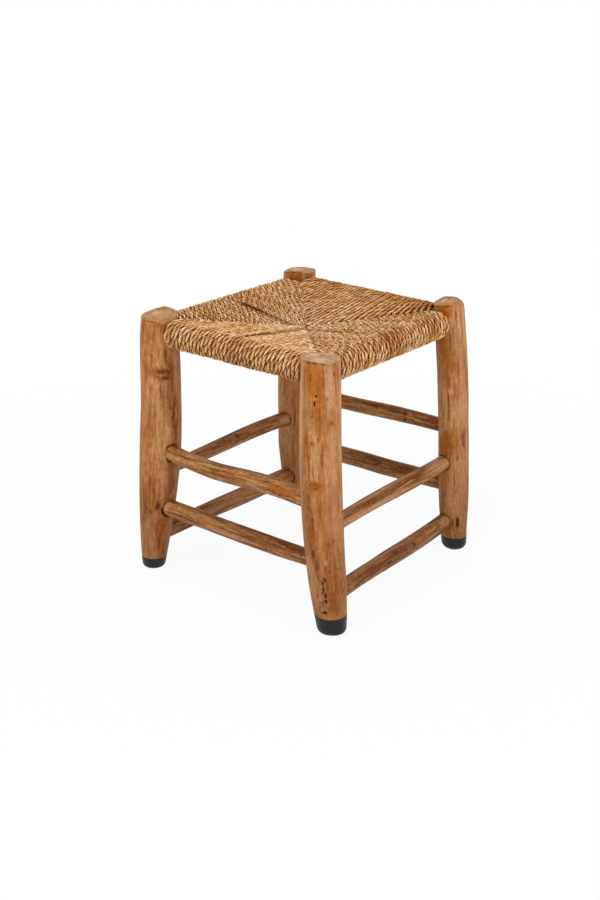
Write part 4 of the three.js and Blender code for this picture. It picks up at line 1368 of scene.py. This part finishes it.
# One turn of cord as it lies: its line, and all that its two strands share.
def layTurn(name, seed, turn, random):
    run, topShare, railWay = cordRun(name, turn, random.normal(0, seat["upwardTurn"]))
    run, place, topShare = evenly(run, seat["step"], topShare)
    tangent = np.gradient(run, axis=0)
    tangent -= np.outer(tangent @ railWay, railWay)
    tangent /= np.linalg.norm(tangent, axis=1)[:, None]
    side = np.broadcast_to(railWay, tangent.shape)
    upward = np.cross(tangent, side)
    probe = np.stack([place, place * 0 + turn * 0.05, place * 0 + seed], -1)
    aside, dark, sense = partAside(name, turn, topShare)
    edge = fade(topShare, 0.8, 1.05)
    lateral = seat["sideways"] * (0.7 + 0.9 * edge) * softNoise(probe, 0.035, seed)
    lateral += seat["sidewaysTurn"] * random.normal() + aside
    lift = seat["upward"] * softNoise(probe, 0.028, seed + 1)
    phase = random.uniform(0, 2 * np.pi)
    twist = phase + 2 * np.pi * place / (seat["pitch"][name] * random.uniform(*seat["pitchSpread"]))
    fromEnd = np.minimum(place, place[-1] - place)
    atLeg = name == "back" and 1 < turn < seat["turns"] / 2
    apart = fade(fromEnd, *seat["apartReach"]) * seat["apartAtLeg" if atLeg else "apart"]
    shade = 0.35 * fade(topShare, 0.95, 0.6) + 0.6 * fade(topShare, 0.3, 0.1)
    values = {
        "place": place, "edge": edge, "dark": dark, "sense": sense, "tint": turnTint(name, turn, topShare),
        "twist": twist + seat["twist"] * softNoise(probe, 0.03, seed + 3),
        "thick": 1 + seat["thickness"] * softNoise(probe, 0.02, seed + 2),
        "ending": fade(fromEnd, *seat["ending"]) * shade,
        "sides": strand["sideLow"] + strand["sideApart"] * apart,
        "groove": strand["groove"] - strand["grooveFlat"] * fade(topShare, 1.0, 0.75),
        "paler": strand["paler"] * fade(topShare, 0.55, 0.15),
    }
    cord = {key: value[:, None] for key, value in values.items()}
    cord["line"] = run + side * lateral[:, None] + upward * lift[:, None]
    cord["side"], cord["upward"], cord["probe"] = side, upward, probe
    cord["tone"] = random.normal(0, strand["toneTurn"])
    return cord


# One strand of a turn: its rings of points and its marks.
def layStrand(name, seed, cord, ply, random):
    section = np.arange(seat["columns"]) / seat["columns"] * 2 * np.pi
    thick = softNoise(cord["probe"] + ply * 7.7, 0.012, seed + 4)[:, None]
    thick = cord["thick"] * (1 + strand["thickness"] * thick) * random.uniform(*strand["spread"])
    angle = cord["twist"] + np.pi * ply
    radial = np.where(np.cos(section) > 0, strand["outward"], strand["inward"]) * np.cos(section)
    # three leaf strips make each strand ridged, with painted shade in the line between them
    strip = np.cos(3 * section + angle * 0.35 + seed + 2.1 * ply)
    ridge = 1 + strand["ridge"] * strip
    outX = (strand["middle"] + radial * thick) * ridge
    outY = strand["aside"] * np.sin(section) * thick * ridge
    first = outX * np.cos(angle) - outY * np.sin(angle)
    second = outX * np.sin(angle) + outY * np.cos(angle)
    size = seat["cord"] * strand["size"]
    points = (cord["line"][:, None] + cord["side"][:, None] * (first * size)[..., None]
              + cord["upward"][:, None] * (second * size)[..., None])
    # the strand's lay: painted shade in its groove, beside the next turn, between its strips and beside a
    # parting
    depth = fade(np.hypot(first, second), cord["groove"], cord["groove"] + strand["grooveSoft"])
    sides = cord["sides"] + seat["sideLine"][name] * fade(np.abs(first), 0.26, 0.42)
    depth = depth * (1 - strand["sideDark"] * (1 - fade(second, sides, sides + strand["sideSoft"])))
    depth = depth * (1 - strand["stripDark"] * (1 - fade(strip, -0.95, -0.1)))
    depth = depth * (1 - np.minimum(cord["dark"], 1) * fade(first * cord["sense"], 0.1, 0.42))
    start = random.uniform(0, 5)
    grainX, grainY, grainZ = strand["grain"]
    leaf = [np.cos(section) * grainX + start + 0 * angle, np.sin(section) * grainY + 0 * angle,
            cord["place"] * grainZ + 0 * section + start]
    wide = 0.5 * softNoise(points, 0.04, 5) + 0.4 * softNoise(points, 0.012, 6) + sideTone[name]
    orange = wide + 0.5 * cord["edge"] + strand["toneShare"] * cord["tone"]
    orange = fade(orange, 0.3, 1.6) * strand["orange"]
    orange = np.maximum(orange, cord["tint"] * (0.8 + 0.2 * softNoise(points, 0.02, 7)))
    # painted shade in the slit of a parting, on the side of the gap
    slit = fade(cord["dark"], 1.2, 1.9) * fade(first * cord["sense"], -0.1, 0.3)
    own = strand["toneShare"] * cord["tone"] + random.normal(0, strand["toneOwn"]) + cord["paler"]
    own = own + strand["toneAlong"] * softNoise(cord["probe"] + 3.3 * ply, 0.025, seed + 6)[:, None]
    return points, {"ply": np.stack(leaf, -1), "lay": depth * (1 - cord["ending"]),
                    "tone": np.stack([own + 0 * orange, orange, slit], -1)}


def buildSide(name, seed):
    random = np.random.default_rng(seed)
    strands = []
    for turn in range(seat["turns"]):
        cord = layTurn(name, seed, turn, random)
        strands += [layStrand(name, seed, cord, ply, random) for ply in range(2)]
    marks = {key: [own[key] for points, own in strands] for key in ("ply", "lay", "tone")}
    return tubeMesh(f"seat_cord_{name}", [points for points, own in strands], marks, palmCord)


for index, name in enumerate(seatSides):
    panel = buildSide(name, 50 + index)
    addPiece(panel, "palm_cord")
    if name == "front":
        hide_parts("woven_seat")
    print("seat side", name, "wound,", len(panel.data.polygons), "faces")


# What lies between the two layers of cord: its dark colour is painted shade, the dark seen at the bottom of
# every gap.
def coreMaterial(name):
    material, tree, shader = newMaterial(name)
    leaves = noise(tree, position(tree), 700.0, 4.0, 0.7)
    base = ramp(tree, leaves, (0.35, "301404"), (0.55, "59300f"), (0.75, "805226"))
    setSocket(tree, shader.inputs["Base Color"], base)
    setSocket(tree, shader.inputs["Roughness"], 0.9)
    addBump(tree, shader, leaves, 0.6, 0.002)
    return material


core = {
    "rings": 41,
    "steps": 11,
    "turnSteps": 9,
    "short": 0.004,  # it ends this share of a side before the cord does
    "below": 0.0006,  # under the cord's centre line
    "wrap": 0.35,  # thicknesses of the cord round the rail
}


def buildCore():
    half = wrapReach - seat["cord"] / 2 - core["below"]
    wrap = railRadius + seat["cord"] * core["wrap"]
    steps = np.linspace(0, 1, core["steps"])[:-1]
    strands = []
    for name in seatSides:
        start, end = corners[name]
        outward = unit(np.cross(end - start, zAxis))
        low, high = windingEnds(name)
        rings = []
        for share in np.linspace(low + core["short"], high - core["short"], core["rings"]):
            railPoint = start + (end - start) * share
            corner = start if share < 0.5 else end
            inward = 2 * min(share, 1 - share)
            mitre = corner + (crossPoint - corner) * inward
            mitre[2] = railPoint[2] = railHeight
            flat = mitre + (railPoint - mitre) * steps[:, None]
            out = 1 - inward * (1 - steps)
            rings.append(loopRound(flat, out, railPoint, outward, half, wrap, core["turnSteps"])[::-1])
        strands.append(np.array(rings))
    return tubeMesh("seat_core", strands, {}, coreMaterial("seatCoreShade"))


addPiece(buildCore(), "palm_cord")
print("seat core made")

studio = {
    "worldLevel": 0.68,
    "floorSize": 60.0,
    "floorGlow": 0.92,
    # each lamp: azimuth and elevation in degrees, distance, size, and the level it gives
    "lamps": {
        "key": (8, 50, 3.2, 1.3, 0.27),
        "low": (-22, 14, 3.4, 2.4, 0.11),
        "fill": (80, 24, 3.4, 2.2, 0.30),
        "topLight": (200, 75, 3.0, 2.0, 0.06),
    },
}


# 1 where the surface itself is seen, straight or in a reflection, and 0 where it only gives light.
def seenItself(tree):
    path = put(tree, "ShaderNodeLightPath")
    seen = math2(tree, "MAXIMUM", path.outputs["Is Camera Ray"], path.outputs["Is Glossy Ray"])
    return math2(tree, "MAXIMUM", seen, path.outputs["Is Transmission Ray"])


def setWorld():
    world = bpy.data.worlds.new("studio")
    world.use_nodes = True
    bpy.context.scene.world = world
    tree = world.node_tree
    background = tree.nodes["Background"]
    setSocket(tree, background.inputs["Color"], (1, 1, 1, 1))
    level = spread(tree, seenItself(tree), 0.0, 1.0, studio["worldLevel"], 1.0)
    setSocket(tree, background.inputs["Strength"], level)


def setFloor():
    half = studio["floorSize"] / 2
    mesh = bpy.data.meshes.new("floor")
    square = [(-half, -half, 0), (half, -half, 0), (half, half, 0), (-half, half, 0)]
    mesh.from_pydata(square, [], [(0, 1, 2, 3)])
    floor = bpy.data.objects.new("floor", mesh)
    floor.location.z = -0.0004
    bpy.context.scene.collection.objects.link(floor)
    material, tree, shader = newMaterial("paper")
    setSocket(tree, shader.inputs["Base Color"], colour("f2f2f2"))
    setSocket(tree, shader.inputs["Roughness"], 0.9)
    setSocket(tree, shader.inputs["Specular IOR Level"], 0.1)
    glow = put(tree, "ShaderNodeEmission", {"Color": (1, 1, 1, 1), "Strength": 1.0})
    far = put(tree, "ShaderNodeVectorMath", {0: position(tree)}, operation="LENGTH").outputs["Value"]
    # the paper is lit up where it is seen, the more the farther away, and takes the stool's shadow
    share = math2(tree, "MULTIPLY", spread(tree, far, 0.3, 1.3, studio["floorGlow"], 1.0), seenItself(tree))
    blend = put(tree, "ShaderNodeMixShader", {"Fac": share, 1: shader.outputs[0], 2: glow.outputs[0]})
    setSocket(tree, tree.nodes["Material Output"].inputs["Surface"], blend.outputs[0])
    mesh.materials.append(material)


def setLamps():
    aim = np.array([0, 0, 0.25])
    for name, (azimuth, elevation, distance, size, level) in studio["lamps"].items():
        turn, rise = math.radians(azimuth), math.radians(elevation)
        data = bpy.data.lights.new(name, "AREA")
        data.shape = "DISK"
        data.size = size
        data.energy = level * math.pi ** 2 * distance ** 2
        lamp = bpy.data.objects.new(name, data)
        away = [math.sin(turn) * math.cos(rise), -math.cos(turn) * math.cos(rise), math.sin(rise)]
        lamp.location = aim + distance * np.array(away)
        lamp.rotation_euler = (math.pi / 2 - rise, 0, turn)
        bpy.context.scene.collection.objects.link(lamp)


setWorld()
setFloor()
setLamps()
bpy.context.scene.view_settings.view_transform = "Standard"
print("studio set")
